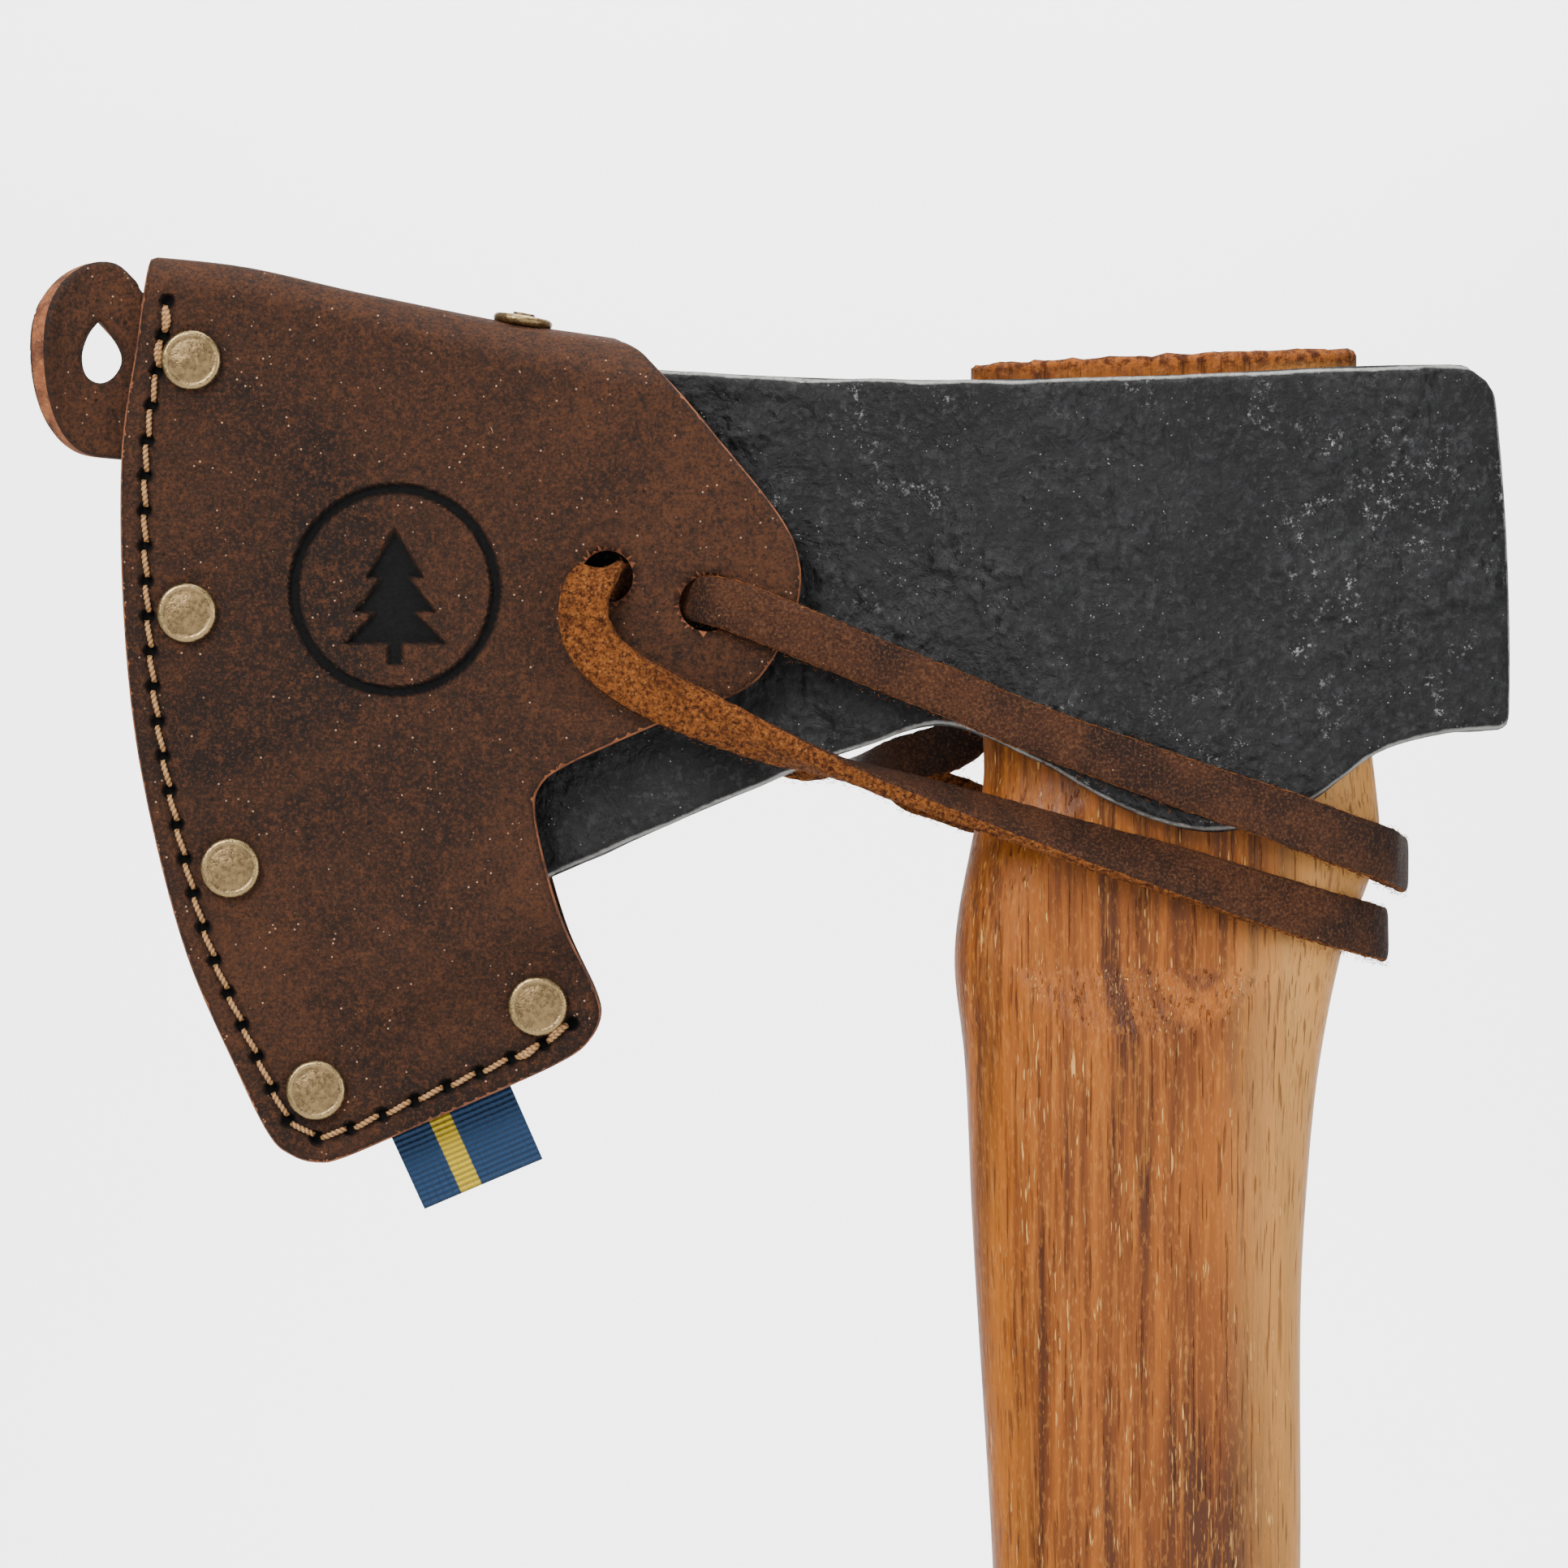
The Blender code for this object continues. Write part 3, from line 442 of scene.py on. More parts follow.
class Look:
    """A material whose node tree is written as expressions."""

    def __init__(self, name, roughness=0.5, metallic=0.0, **uniform):
        self.material = bpy.data.materials.new(name)
        self.material.use_nodes = True
        self.tree = self.material.node_tree
        self.shader = self.tree.nodes["Principled BSDF"]
        self.shader.inputs["Roughness"].default_value = roughness
        self.shader.inputs["Metallic"].default_value = metallic
        for socket, value in uniform.items():
            self.shader.inputs[socket.replace("_", " ")].default_value = value
        self.place = self.node("TexCoord", out="Object")

    def node(self, kind, settings=None, values=None, out=0):
        """Any other node: its settings come first, then the values and links of its sockets."""
        made = self.tree.nodes.new("ShaderNode" + kind)
        for key, value in (settings or {}).items():
            setattr(made, key, value)
        for key, value in (values or {}).items():
            self.join(made.inputs[key], value)
        return Wire(self, made.outputs[out])

    def join(self, socket, value):
        """Sets a socket to a value, or links it to a wire."""
        if isinstance(value, Wire):
            self.tree.links.new(value.socket, socket)
        elif isinstance(value, (tuple, list)) and len(value) == 3 and len(socket.default_value) == 4:
            socket.default_value = (*value, 1)
        else:
            socket.default_value = value

    def maths(self, operation, *values):
        """One step of arithmetic."""
        return self.node("Math", {"operation": operation}, dict(enumerate(values)))

    def stretch(self, x, y, z, turn=(0, 0, 0)):
        """The piece's own coordinates, scaled on each axis after a turn in degrees."""
        angles = [math.radians(a) for a in turn]
        turned_place = self.node("VectorRotate", {"rotation_type": "EULER_XYZ"}, {0: self.place, 4: angles})
        return self.node("VectorMath", {"operation": "MULTIPLY"}, {0: turned_place, 1: (x, y, z)})

    def swayed(self, scale, amount, place):
        """Coordinates pushed about by a slow noise."""
        sway = self.node("TexNoise", None, {"Scale": scale, "Vector": self.place}, out="Color")
        return self.node("VectorMath", {"operation": "MULTIPLY_ADD"}, {0: sway, 1: (amount,) * 3, 2: place})

    def noise(self, scale, detail=2.0, rough=0.5, place=None, warp=0.0):
        """Cloudy noise over the piece, or over other coordinates."""
        values = {"Vector": place or self.place, "Scale": scale, "Detail": detail}
        values |= {"Roughness": rough, "Distortion": warp}
        return self.node("TexNoise", None, values)

    def cells(self, scale, place=None):
        """The distance to scattered points, for specks and pores."""
        return self.node("TexVoronoi", None, {"Vector": place or self.place, "Scale": scale})

    def band(self, value, low, high):
        """0 below low, 1 above high, and a smooth rise between."""
        settings = {"interpolation_type": "SMOOTHSTEP"}
        return self.node("MapRange", settings, {"Value": value, "From Min": low, "From Max": high})

    def mark(self, name):
        """One of the mesh's own float marks."""
        return self.node("Attribute", {"attribute_name": name}, out="Fac")

    def mix(self, share, first, second):
        """Two colours, mixed by a share."""
        return self.node("Mix", {"data_type": "RGBA"}, {0: share, 6: first, 7: second}, out=2)

    def done(self, colour, roughness, height=None, depth=0.001, metallic=None):
        """Joins what was worked out to the surface and gives the material."""
        self.join(self.shader.inputs["Base Color"], colour)
        self.join(self.shader.inputs["Roughness"], roughness)
        if metallic is not None:
            self.join(self.shader.inputs["Metallic"], metallic)
        if height is not None:
            bump = self.node("Bump", None, {"Height": height, "Distance": depth, "Strength": 1.0})
            self.join(self.shader.inputs["Normal"], bump)
        return self.material


def rgb(red, green, blue):
    """A linear colour from everyday 0 to 255 values."""
    shares = [value / 255 for value in (red, green, blue)]
    return tuple(c / 12.92 if c < 0.04 else ((c + 0.055) / 1.055) ** 2.4 for c in shares)


def nubuck_look(name="nubuck"):
    """Brown waxed nubuck: soft dark clouds, fine grain, pores, pale loose fibres and pressed places, with
    painted sheen on the fold's top and the bulge and painted shade in the stitch holes.
    """
    look = Look(name, roughness=0.7, Specular_IOR_Level=0.22)
    brown = tuple(bpy.context.scene.axe_sizes.leather_colour)
    dark = tuple(c * f for c, f in zip(brown, (0.22, 0.28, 0.40)))
    light = tuple(c * f for c, f in zip(brown, (2.9, 2.8, 2.7)))
    cloud = look.noise(30, 5, 0.62, warp=0.6)
    streak = look.noise(55, 4, 0.6, look.stretch(1.0, 1.0, 0.45, (0, -38, 0)))
    fine = look.noise(800, 6, 0.8)
    grain = look.noise(2200, 4, 0.8)
    colour = look.mix(look.band(cloud, 0.34, 0.60), dark, brown)
    colour = look.mix(look.band(streak, 0.46, 0.70) * 0.40, colour, light)
    colour = look.mix(look.band(look.noise(170, 4, 0.7), 0.46, 0.34) * 0.45, colour, dark)
    # Paler on the fold's top and over the bulge: partly rubbed wear, partly painted sheen.
    colour = look.mix(look.mark("worn") * look.band(fine, 0.34, 0.60) * 0.8, colour, light)
    colour = look.mix(look.band(fine, 0.50, 0.62) * 0.55, colour, light)
    colour = look.mix(look.band(fine, 0.47, 0.37) * 0.62, colour, dark)
    colour = look.mix(look.band(grain, 0.52, 0.61) * 0.55, colour, light)
    colour = look.mix(look.band(grain, 0.47, 0.39) * 0.75, colour, dark)
    zone = look.band(look.noise(48, 2), 0.46, 0.60)
    pores = look.band(look.cells(420), 0.17, 0.07) * look.band(look.noise(150, 2), 0.50, 0.60) * zone
    colour = look.mix(pores * 0.85, colour, tuple(c * 0.14 for c in brown))
    hair_place = look.swayed(260.0, 0.003, look.stretch(1.0, 1.0, 0.22, (0, 40, 0)))
    hairs = look.band(look.cells(560, hair_place), 0.055, 0.02) * look.band(look.noise(240, 1), 0.55, 0.62)
    specks = look.band(look.cells(900), 0.15, 0.07) * look.band(look.noise(330, 2), 0.52, 0.58)
    colour = look.mix(hairs * 0.8 + specks * 0.75, colour, rgb(214, 172, 138))
    colour = look.mix(look.mark("stain") * 0.75, colour, tuple(c * 0.22 for c in brown))
    # Near black: the stamp's own pressed colour, and painted shade in a disc round each stitch hole.
    colour = look.mix(look.mark("pressed"), colour, rgb(3, 3, 3))
    rough = 0.62 + 0.22 * look.band(fine, 0.3, 0.7) - 0.12 * look.mark("stain")
    height = grain * 0.55 + fine * 1.1 + look.cells(1500) * 0.3 - pores * 0.5 + hairs * 0.6
    return look.done(colour, rough, height, 0.00042)


def cut_edge_look():
    """The raw cut edge of the hide: layered orange brown fibres."""
    look = Look("leather_cut_edge", roughness=0.85)
    fibres = look.noise(1700, 4, 0.7)
    layers = look.noise(240, 3, 0.6)
    colour = look.mix(look.band(layers, 0.35, 0.62), rgb(84, 42, 22), rgb(150, 88, 50))
    colour = look.mix(look.band(fibres, 0.52, 0.70) * 0.5, colour, rgb(192, 136, 92))
    colour = look.mix(look.band(fibres, 0.45, 0.30) * 0.7, colour, rgb(48, 24, 14))
    return look.done(colour, 0.8 + 0.15 * fibres, fibres, 0.0006)


def steel_look():
    """Forge scale on steel: charcoal, satin, pitted, with pale specks, scratches and thin worn rims."""
    look = Look("forge_scale", roughness=0.5, Specular_IOR_Level=0.24)
    cloud = look.noise(34, 5, 0.65)
    patch = look.noise(150, 5, 0.7, warp=0.7)
    fine = look.noise(800, 4, 0.7)
    colour = look.mix(look.band(cloud, 0.35, 0.66), rgb(9, 9, 10), rgb(28, 28, 29))
    colour = look.mix(look.band(patch, 0.53, 0.60) * 0.28, colour, rgb(38, 38, 40))
    colour = look.mix(look.band(patch, 0.44, 0.32) * 0.5, colour, rgb(7, 7, 8))
    colour = look.mix(look.band(fine, 0.52, 0.64) * 0.45, colour, rgb(56, 56, 58))
    colour = look.mix(look.band(fine, 0.47, 0.38) * 0.6, colour, rgb(4, 4, 5))
    zone = look.band(look.noise(27, 3, 0.7), 0.47, 0.60)
    crust = look.band(look.noise(1000, 5, 0.85), 0.55, 0.60)
    crust *= look.band(look.noise(130, 4, 0.7), 0.50, 0.60) * zone
    specks = look.band(look.cells(1150), 0.15, 0.07) * look.band(look.noise(330, 3, 0.7), 0.52, 0.60)
    hair_place = look.swayed(150.0, 0.006, look.stretch(1.0, 1.0, 0.12, (0, 24, 0)))
    scratches = look.band(look.cells(300, hair_place), 0.04, 0.015)
    scratches *= look.band(look.noise(110, 2), 0.53, 0.62)
    pale = look.maths("MINIMUM", crust * 0.6 + specks * 0.6 + scratches * 0.5, 1.0)
    colour = look.mix(pale, colour, rgb(186, 186, 184))
    worn = look.band(look.mark("rim") + 0.5 * look.noise(420, 3, 0.7) - 0.25, 0.62, 0.95)
    colour = look.mix(worn * 0.75, colour, rgb(170, 170, 166))
    rough = 0.44 + 0.2 * look.band(patch, 0.4, 0.62) + 0.16 * look.band(fine, 0.4, 0.7) - 0.15 * worn
    dents = look.band(look.noise(95, 3, 0.6), 0.40, 0.58) * look.band(cloud, 0.44, 0.60)
    height = patch * 0.9 + dents * 0.9 + fine * 0.45 + pale * 0.15
    return look.done(colour, rough, height, 0.0011, 0.6 * worn)


def wood_look(name="oiled_ash", light=None, deep=None):
    """Oiled wood: rings about the handle's heart, long pale flecks, dark streaks and a painted pale highlight
    down the rear side.
    """
    look = Look(name, roughness=0.42, Specular_IOR_Level=0.28)
    light, deep = light or rgb(144, 78, 17), deep or rgb(88, 42, 7)
    values = {"Scale": 9.0, "Detail": 3.0, "Vector": look.stretch(1, 1, 0.3)}
    sway = look.node("TexNoise", None, values, out="Color")
    values = {0: sway, 1: (0.010, 0.010, 0.0), 2: look.place}
    bent = look.node("VectorMath", {"operation": "MULTIPLY_ADD"}, values)
    split = look.node("SeparateXYZ", None, {0: bent})
    x, y, z = (Wire(look, output) for output in split.socket.node.outputs)
    from_heart = ((x - HEART_X) * (x - HEART_X) + (y - HEART_Y) * (y - HEART_Y)) ** 0.5
    ring_place = look.node("CombineXYZ", None, {0: from_heart, 1: 0.0, 2: z * 0.03})
    rings = look.noise(430, 2, 0.55, ring_place)
    broad = look.noise(120, 1, 0.5, ring_place)
    grain = look.noise(1500, 3, 0.65, look.stretch(1, 1, 0.035))
    flecks = look.noise(3000, 1, 0.5, look.stretch(1, 1, 0.10))
    fine = look.noise(2600, 2, 0.6, look.stretch(1, 1, 0.25))
    colour = look.mix(look.band(rings, 0.36, 0.62), deep, light)
    colour = look.mix(look.band(rings, 0.42, 0.33) * 0.70, colour, tuple(c * 0.5 for c in deep))
    colour = look.mix(look.band(broad, 0.52, 0.64) * 0.5, colour, rgb(162, 94, 24))
    # Painted highlight: the rear side is painted paler, as if lit.
    rear_highlight = look.band(look.mark("rear") + 0.3 * (broad - 0.5), 0.70, 0.98)
    colour = look.mix(rear_highlight * 0.74, colour, rgb(222, 162, 88))
    colour = look.mix(look.band(grain, 0.54, 0.66) * 0.35, colour, rgb(176, 108, 34))
    colour = look.mix(look.band(grain, 0.46, 0.34) * 0.50, colour, tuple(c * 0.6 for c in deep))
    pale = look.band(flecks, 0.63, 0.69)
    pale *= look.band(look.noise(200, 2, 0.5, look.stretch(1, 1, 0.3)), 0.47, 0.56)
    colour = look.mix(pale * 0.6, colour, rgb(228, 172, 98))
    dark = look.band(look.noise(2200, 1, 0.5, look.stretch(1, 1, 0.04)), 0.36, 0.29)
    colour = look.mix(dark * 0.55, colour, rgb(74, 32, 8))
    colour = look.mix(look.band(fine, 0.54, 0.66) * 0.20, colour, rgb(204, 136, 62))
    raw = look.mix(look.band(look.noise(700, 4, 0.7), 0.40, 0.60), rgb(76, 36, 10), rgb(146, 82, 30))
    colour = look.mix(look.mark("end"), colour, raw)
    rough = 0.38 + 0.2 * look.band(grain, 0.35, 0.65) + 0.4 * look.mark("end")
    height = grain * 0.5 - pale * 0.5 - dark * 0.6 + look.mark("end") * look.noise(900, 4, 0.7) * 1.6
    return look.done(colour, rough, height, 0.00035)


def brass_look():
    """Antique brass: dull brown gold with soft mottling and polished rims."""
    look = Look("antique_brass", roughness=0.34, metallic=1.0)
    mottle = look.noise(1500, 4, 0.7)
    broad = look.noise(420, 3, 0.6)
    colour = look.mix(look.band(mottle, 0.36, 0.66), rgb(112, 92, 64), rgb(142, 118, 82))
    colour = look.mix(look.band(broad, 0.50, 0.72) * 0.2, colour, rgb(98, 80, 54))
    colour = look.mix(look.mark("rim") * 0.5, colour, rgb(172, 148, 104))
    rough = 0.27 + 0.24 * look.band(mottle, 0.4, 0.7) - 0.06 * look.mark("rim")
    height = mottle + look.noise(2800, 2) * 0.4
    return look.done(colour, rough, height, 0.00009, 0.92)


def thread_look():
    """Waxed tan thread, with painted shade in the valleys between its plies."""
    look = Look("waxed_thread", roughness=0.6)
    fibres = look.noise(3200, 2, 0.6)
    # Painted shade: deep brown in the valleys between the plies, tan on their crests.
    colour = look.mix(look.mark("ply"), rgb(84, 50, 24), rgb(186, 138, 84))
    colour = look.mix(look.band(fibres, 0.5, 0.7) * 0.4, colour, rgb(208, 168, 116))
    return look.done(colour, 0.62, fibres, 0.0002)


def lace_look():
    """Lace leather: waxed smooth on one face, fuzzy orange suede on the other and along its cut edges."""
    look = Look("lace_leather", roughness=0.75, Specular_IOR_Level=0.2)
    fuzz = look.noise(1500, 5, 0.75)
    tufts = look.cells(1300)
    suede = look.mix(look.band(fuzz, 0.36, 0.62), rgb(74, 32, 11), rgb(184, 108, 46))
    suede = look.mix(look.band(tufts, 0.34, 0.12) * 0.4, suede, rgb(224, 156, 88))
    suede = look.mix(look.band(look.noise(2600, 4, 0.8), 0.46, 0.38) * 0.7, suede, rgb(44, 18, 6))
    suede = look.mix(look.band(look.noise(150, 3), 0.55, 0.70) * 0.35, suede, rgb(66, 30, 14))
    blotch = look.noise(110, 4, 0.6)
    pebble = look.noise(2600, 4, 0.7)
    smooth = look.mix(look.band(blotch, 0.34, 0.66), rgb(40, 21, 12), rgb(76, 43, 24))
    smooth = look.mix(look.band(pebble, 0.51, 0.62) * 0.42, smooth, rgb(126, 84, 54))
    smooth = look.mix(look.band(pebble, 0.47, 0.38) * 0.6, smooth, rgb(16, 8, 5))
    specks = look.band(look.cells(700), 0.10, 0.05) * look.band(look.noise(300, 2), 0.55, 0.62)
    smooth = look.mix(specks * 0.7, smooth, rgb(200, 160, 126))
    share = look.band(look.mark("suede") + 0.5 * (look.noise(1100, 3) - 0.5), 0.38, 0.62)
    colour = look.mix(share, smooth, suede)
    height = fuzz * share * 3.8 - tufts * share * 2.0 + pebble * 1.2
    return look.done(colour, 0.60 + 0.32 * share, height, 0.0006)


def ribbon_look():
    """Woven ribbon: blue ground with a yellow stripe, ribbed by its weft."""
    look = Look("woven_ribbon", roughness=0.75)
    ribs = look.stretch(1, 1, 1, (0, 23, 0))
    values = {"Vector": ribs, "Scale": 420.0, "Distortion": 0.6}
    weft = look.node("TexWave", {"bands_direction": "Z"}, values)
    values = {"Vector": ribs, "Scale": 300.0, "Distortion": 0.4}
    warp = look.node("TexWave", {"bands_direction": "X"}, values)
    ground = tuple(bpy.context.scene.axe_sizes.tag_colour)
    stripe = look.band(look.mark("stripe") + 0.06 * look.noise(900, 2), 0.50, 0.56)
    colour = look.mix(stripe, ground, rgb(206, 176, 14))
    colour = look.mix(look.band(weft, 0.45, 0.1) * 0.5, colour, tuple(c * 0.3 for c in ground))
    return look.done(colour, 0.75, weft + warp * 0.6, 0.00035)


# ---------------------------------------------------------------- head and handle


def handle_rings(heights, sides, clearance=0.0, inset=0.0):
    """Rings of the handle: ovals with flat cheeks where it enters the head."""
    heights = np.asarray(heights, float)
    places, *sides_of = zip(*HANDLE_SHAPE)
    front, rear, half = (key_curve(list(zip(places, values)), heights)[:, None] for values in sides_of)
    reach = (rear - front) / 2 + clearance - inset
    cheek = CHEEK_HALF + clearance + CHEEK_RISE * np.maximum(0, CHEEK_END - heights)[:, None]
    turns = np.linspace(0, 2 * math.pi, sides, endpoint=False)[None, :]
    across = np.sign(np.cos(turns)) * np.abs(np.cos(turns)) ** (2 / HANDLE_ROUNDNESS)
    through = np.sign(np.sin(turns)) * np.abs(np.sin(turns)) ** (2 / HANDLE_ROUNDNESS)
    y = (half + clearance - inset) * through
    y = np.sign(y) * np.minimum(np.abs(y), cheek)
    x = (front + rear) / 2 + reach * across
    return np.stack([x, y, np.broadcast_to(heights[:, None], x.shape)], axis=2)


def flat_ring(reach, half, height):
    """A rectangle's corners at one height."""
    return [(-reach, -half, height), (reach, -half, height), (reach, half, height), (-reach, half, height)]


def build_handle():
    """The handle with a kerf sawn in its top, and the wedge driven into the kerf."""
    sides = 120
    butt = ((0.0, 2.5), (0.3, 1.4), (0.9, 0.7), (1.9, 0.15))
    rings = [handle_rings([height], sides, inset=inset) for height, inset in butt]
    heights = [np.arange(3.0, 560.0, 4.0), np.arange(560.0, 614.0, 1.0), np.arange(614.0, 659.4, 3.0)]
    rings.append(handle_rings(np.concatenate(heights), sides))
    crown = ((0.9, 0.0), (0.3, 0.3), (0.0, 1.0), (0.0, 4.0), (0.0, 8.0))
    rings += [handle_rings([HANDLE_TOP - down], sides, inset=inset) for down, inset in crown]
    rings = np.vstack(rings)
    top = np.clip((rings[:, :, 2] - HEAD_TOP) / (HANDLE_TOP - HEAD_TOP), 0, 1)
    rings[:, :, 2] -= top * TOP_SLOPE * (TOP_SLOPE_REAR - rings[:, :, 0])
    for ring in rings[-len(crown) :]:
        for point in ring:
            point[2] += 0.5 * noise.noise(Vector((point[0] * 0.9, point[1] * 0.9, 3.0)))
    bm = loft(rings.tolist())
    places = rings.reshape(-1, 3)
    middle = (rings.min(axis=1) + rings.max(axis=1))[:, 0] / 2
    # How far each point is towards the rear; the wood look paints a pale highlight there.
    rear = (rings[:, :, 0] - middle[:, None]) / 22.0 * 0.5 + 0.5
    end = ease(places[:, 2], HEAD_TOP + 0.4, HEAD_TOP + 1.6) + ease(-places[:, 2], -0.6, 0.2)
    marks = {"rear": rear.reshape(-1), "end": end}
    piece = finish_piece("axe_handle", bm, [wood_look()], "axe", ["handle"], marks, sharp=60)
    kerf = [flat_ring(22.3, 0.9, HANDLE_TOP - 40.3), flat_ring(22.3, 2.5, HANDLE_TOP + 2)]
    cut_away(piece, mesh_of(loft(kerf), "kerf"))
    blade = []
    for share in np.linspace(0, 1, 12):
        drop = TOP_SLOPE * ease(share, 0.8, 1.0)
        ring = flat_ring(22.0, 0.6 + 1.6 * share, HANDLE_TOP - 40.0 + 39.4 * share)
        blade.append([(x, y, height - drop * (TOP_SLOPE_REAR - x)) for x, y, height in ring])
    look = wood_look("wedge_wood", rgb(196, 146, 92), rgb(150, 98, 54))
    count = 4 * len(blade)
    marks = {"end": [0.0] * count, "rear": [0.5] * count}
    finish_piece("hard_wedge", loft(blade), [look], "axe", ["eye_wedge"], marks)


def along(line, share):
    """The point this share of the way along an outline, by its x."""
    x = line[0][0] + share * (line[-1][0] - line[0][0])
    return np.array((x, float(key_curve(line, x))))


def head_ring(share, inset=0.0, rows=34):
    """One closed ring round the head, and how near each point is to a worn rim."""
    top, under = along(TOP_LINE, share), along(UNDER_LINE, share)
    direction = (top - under) / np.linalg.norm(top - under)
    top, under = top - direction * inset, under + direction * inset
    half = float(key_curve(HEAD_HALF, share)) - inset
    corner = min(HEAD_CORNER, 0.8 * half)
    length = np.linalg.norm(top - under)
    bulge = EDGE_BULGE * max(0.0, 1 - share / BULGE_REACH) ** 2
    turns = [math.pi / 2 * k / 5 for k in range(5)]
    side = []
    for a in turns:
        rim = min(1.0, 1.25 * math.sin(2 * a) * math.cos(a))
        side.append((corner * (1 - math.cos(a)), half - corner * (1 - math.sin(a)), rim))
    side += [(corner + (length - 2 * corner) * k / rows, half, 0.0) for k in range(rows + 1)]
    side += [(length - up, out, rim) for up, out, rim in reversed(side[:5])]
    ring = []
    for sign in (-1, 1):
        for up, out, rim in side if sign < 0 else reversed(side):
            place = under + direction * up
            part = up / length
            ring.append((place[0] - bulge * 4 * part * (1 - part), sign * out, place[1] + HEAD_TOP, rim))
    return ring


def build_head():
    """The head, its poll slightly domed and its faces softly dented, with the eye cut out."""
    shares = np.concatenate([[0.0, 0.006, 0.015], np.linspace(0.03, 0.978, 118)])
    poll_rings = ((0.990, 0.1), (0.9945, 0.35), (0.998, 0.8), (1.0, 1.5), (1.0, 2.3), (1.0, 5.0), (1.0, 9.0))
    rings = [head_ring(share) for share in shares]
    rings += [head_ring(share, inset) for share, inset in poll_rings]
    rings = np.array(rings)
    rim = rings[:, :, 3].copy()
    rim[-5] = 0.7
    rim[-4] = 0.9
    rim[-3:] = 0.0
    for share, ring in zip([*shares, *[1.0] * len(poll_rings)], rings):
        poll = ease(share, 0.90, 1.0)
        low, high = ring[:, 2].min(), ring[:, 2].max()
        for point in ring:
            part = (point[2] - low) / (high - low)
            point[0] += poll * (3.2 * part * (1 - part) - 2.4 * max(0.0, (part - 0.93) / 0.07) ** 2)
            spot = Vector(point[:3])
            dent = sum(noise.noise(spot * scale) * depth for scale, depth in DENTS)
            thin = min(1.0, abs(point[1]) / 6.0)
            point[1] += math.copysign(dent * thin, point[1])
            point[2] += noise.noise(spot * 0.12 + Vector((9, 4, 2))) * 0.35 * (point[3] > 0)
    bm = loft(rings[:, :, :3].tolist())
    marks = {"rim": rim.reshape(-1)}
    looks = [steel_look()]
    piece = finish_piece("forged_head", bm, looks, "axe", ["axe_head"], marks, sharp=60)
    heights = [585.0, 592.0, 596.0, 599.0, 602.0, 606.0, 612.0, 630.0, 645.0, 656.0, 666.0]
    cut_away(piece, mesh_of(loft(handle_rings(heights, 72, clearance=GAP).tolist()), "eye"))


# ---------------------------------------------------------------- sheath leather


def fold_size(x):
    """The fold's top height, its outer half width, and how far down it is round."""
    gap = key_curve(SHEATH_GAP, x)
    return key_curve(FOLD_LINE, x), gap + LEATHER, LEATHER + 1.2 + 0.35 * gap


def unroll(points):
    """Turns side-view points into places on the flat leather: x, and the way down from the fold."""
    points = np.asarray(points, float)
    top, _, depth = fold_size(points[:, 0])
    down = np.maximum(0.0, top - points[:, 1])
    round_part = np.arccos(np.clip(1 - down / depth, -1, 1)) * depth
    run = np.where(down < depth, round_part, down + depth * (math.pi / 2 - 1))
    return np.stack([points[:, 0], run], axis=1)


def panel_gap(points):
    """Half the space between the panels: the welt's at the seam, and the bit's away from it."""
    t = ease(distance_to(points, SEAM), SEAM_FLAT, SEAM_FLAT + SEAM_RISE)
    seam_gap = WELT / 2 + GAP
    return seam_gap + (key_curve(SHEATH_GAP, points[:, 0]) - seam_gap) * t


def side_height(flat):
    """The height of a flat leather point in the side view."""
    top, _, depth = fold_size(flat[:, 0])
    turn = np.minimum(flat[:, 1] / depth, math.pi / 2)
    straight = top - flat[:, 1] + depth * (math.pi / 2 - 1)
    return np.where(turn < math.pi / 2, top - depth * (1 - np.cos(turn)), straight)


def leather_places(flat, sink):
    """Points of the near panel, sink millimetres under its outer skin."""
    x, run = flat[:, 0], flat[:, 1]
    top, half, depth = fold_size(x)
    turn = np.minimum(run / depth, math.pi / 2)
    on_fold = run < depth * math.pi / 2
    height = side_height(flat)
    fold_y = -(half - sink) * np.sin(turn)
    fold_z = top - sink - (depth - sink) * (1 - np.cos(turn))
    gap = panel_gap(np.stack([x, height], axis=1))
    y = np.where(on_fold, fold_y, -(gap + LEATHER - sink))
    z = np.where(on_fold, fold_z, height)
    return np.stack([x, y, z + HEAD_TOP], axis=1)


def stitch_points():
    """The stitch holes, an even step apart and an even inset from the sheath's edge."""
    fine = smooth_path(SHEATH_OUTLINE, 0.5)
    steps = np.gradient(fine, axis=0)
    normals = np.stack([-steps[:, 1], steps[:, 0]], axis=1)
    inset = fine + STITCH_INSET * normals / np.linalg.norm(normals, axis=1)[:, None]
    start = int(np.argmin(np.abs(inset[:200, 1] - STITCH_FIRST_HEIGHT)))
    end = int(np.argmin(np.linalg.norm(inset - np.array(STITCH_LAST), axis=1)))
    run = inset[start : end + 1]
    length = np.concatenate([[0], np.cumsum(np.linalg.norm(np.diff(run, axis=0), axis=1))])
    at = np.linspace(0, length[-1], STITCHES)
    return np.stack([np.interp(at, length, run[:, 0]), np.interp(at, length, run[:, 1])], axis=1)


def stamp_depth(points):
    """How deep the pressed mark is at each point, from 0 to 1: a ring round a fir tree."""
    at = points - np.array(STAMP_PLACE)
    radius = np.linalg.norm(at, axis=1)
    ring = ease(0.8 - np.abs(radius - STAMP_RING), 0, 0.25)
    tree = np.zeros(len(at))
    for top, base, width in FIR_TIERS:
        loop = np.array([(-width, base), (width, base), (0.0, top)])
        depth = distance_to(at, closed(loop)) * np.where(inside(at, loop), 1, -1)
        tree = np.maximum(tree, ease(depth, -0.1, 0.25))
    trunk = ease(1.2 - np.abs(at[:, 0]), 0, 0.5) * ease(at[:, 1], -10.2, -9.7) * ease(-at[:, 1], 6.6, 7.2)
    return np.maximum.reduce([ring, tree, trunk])


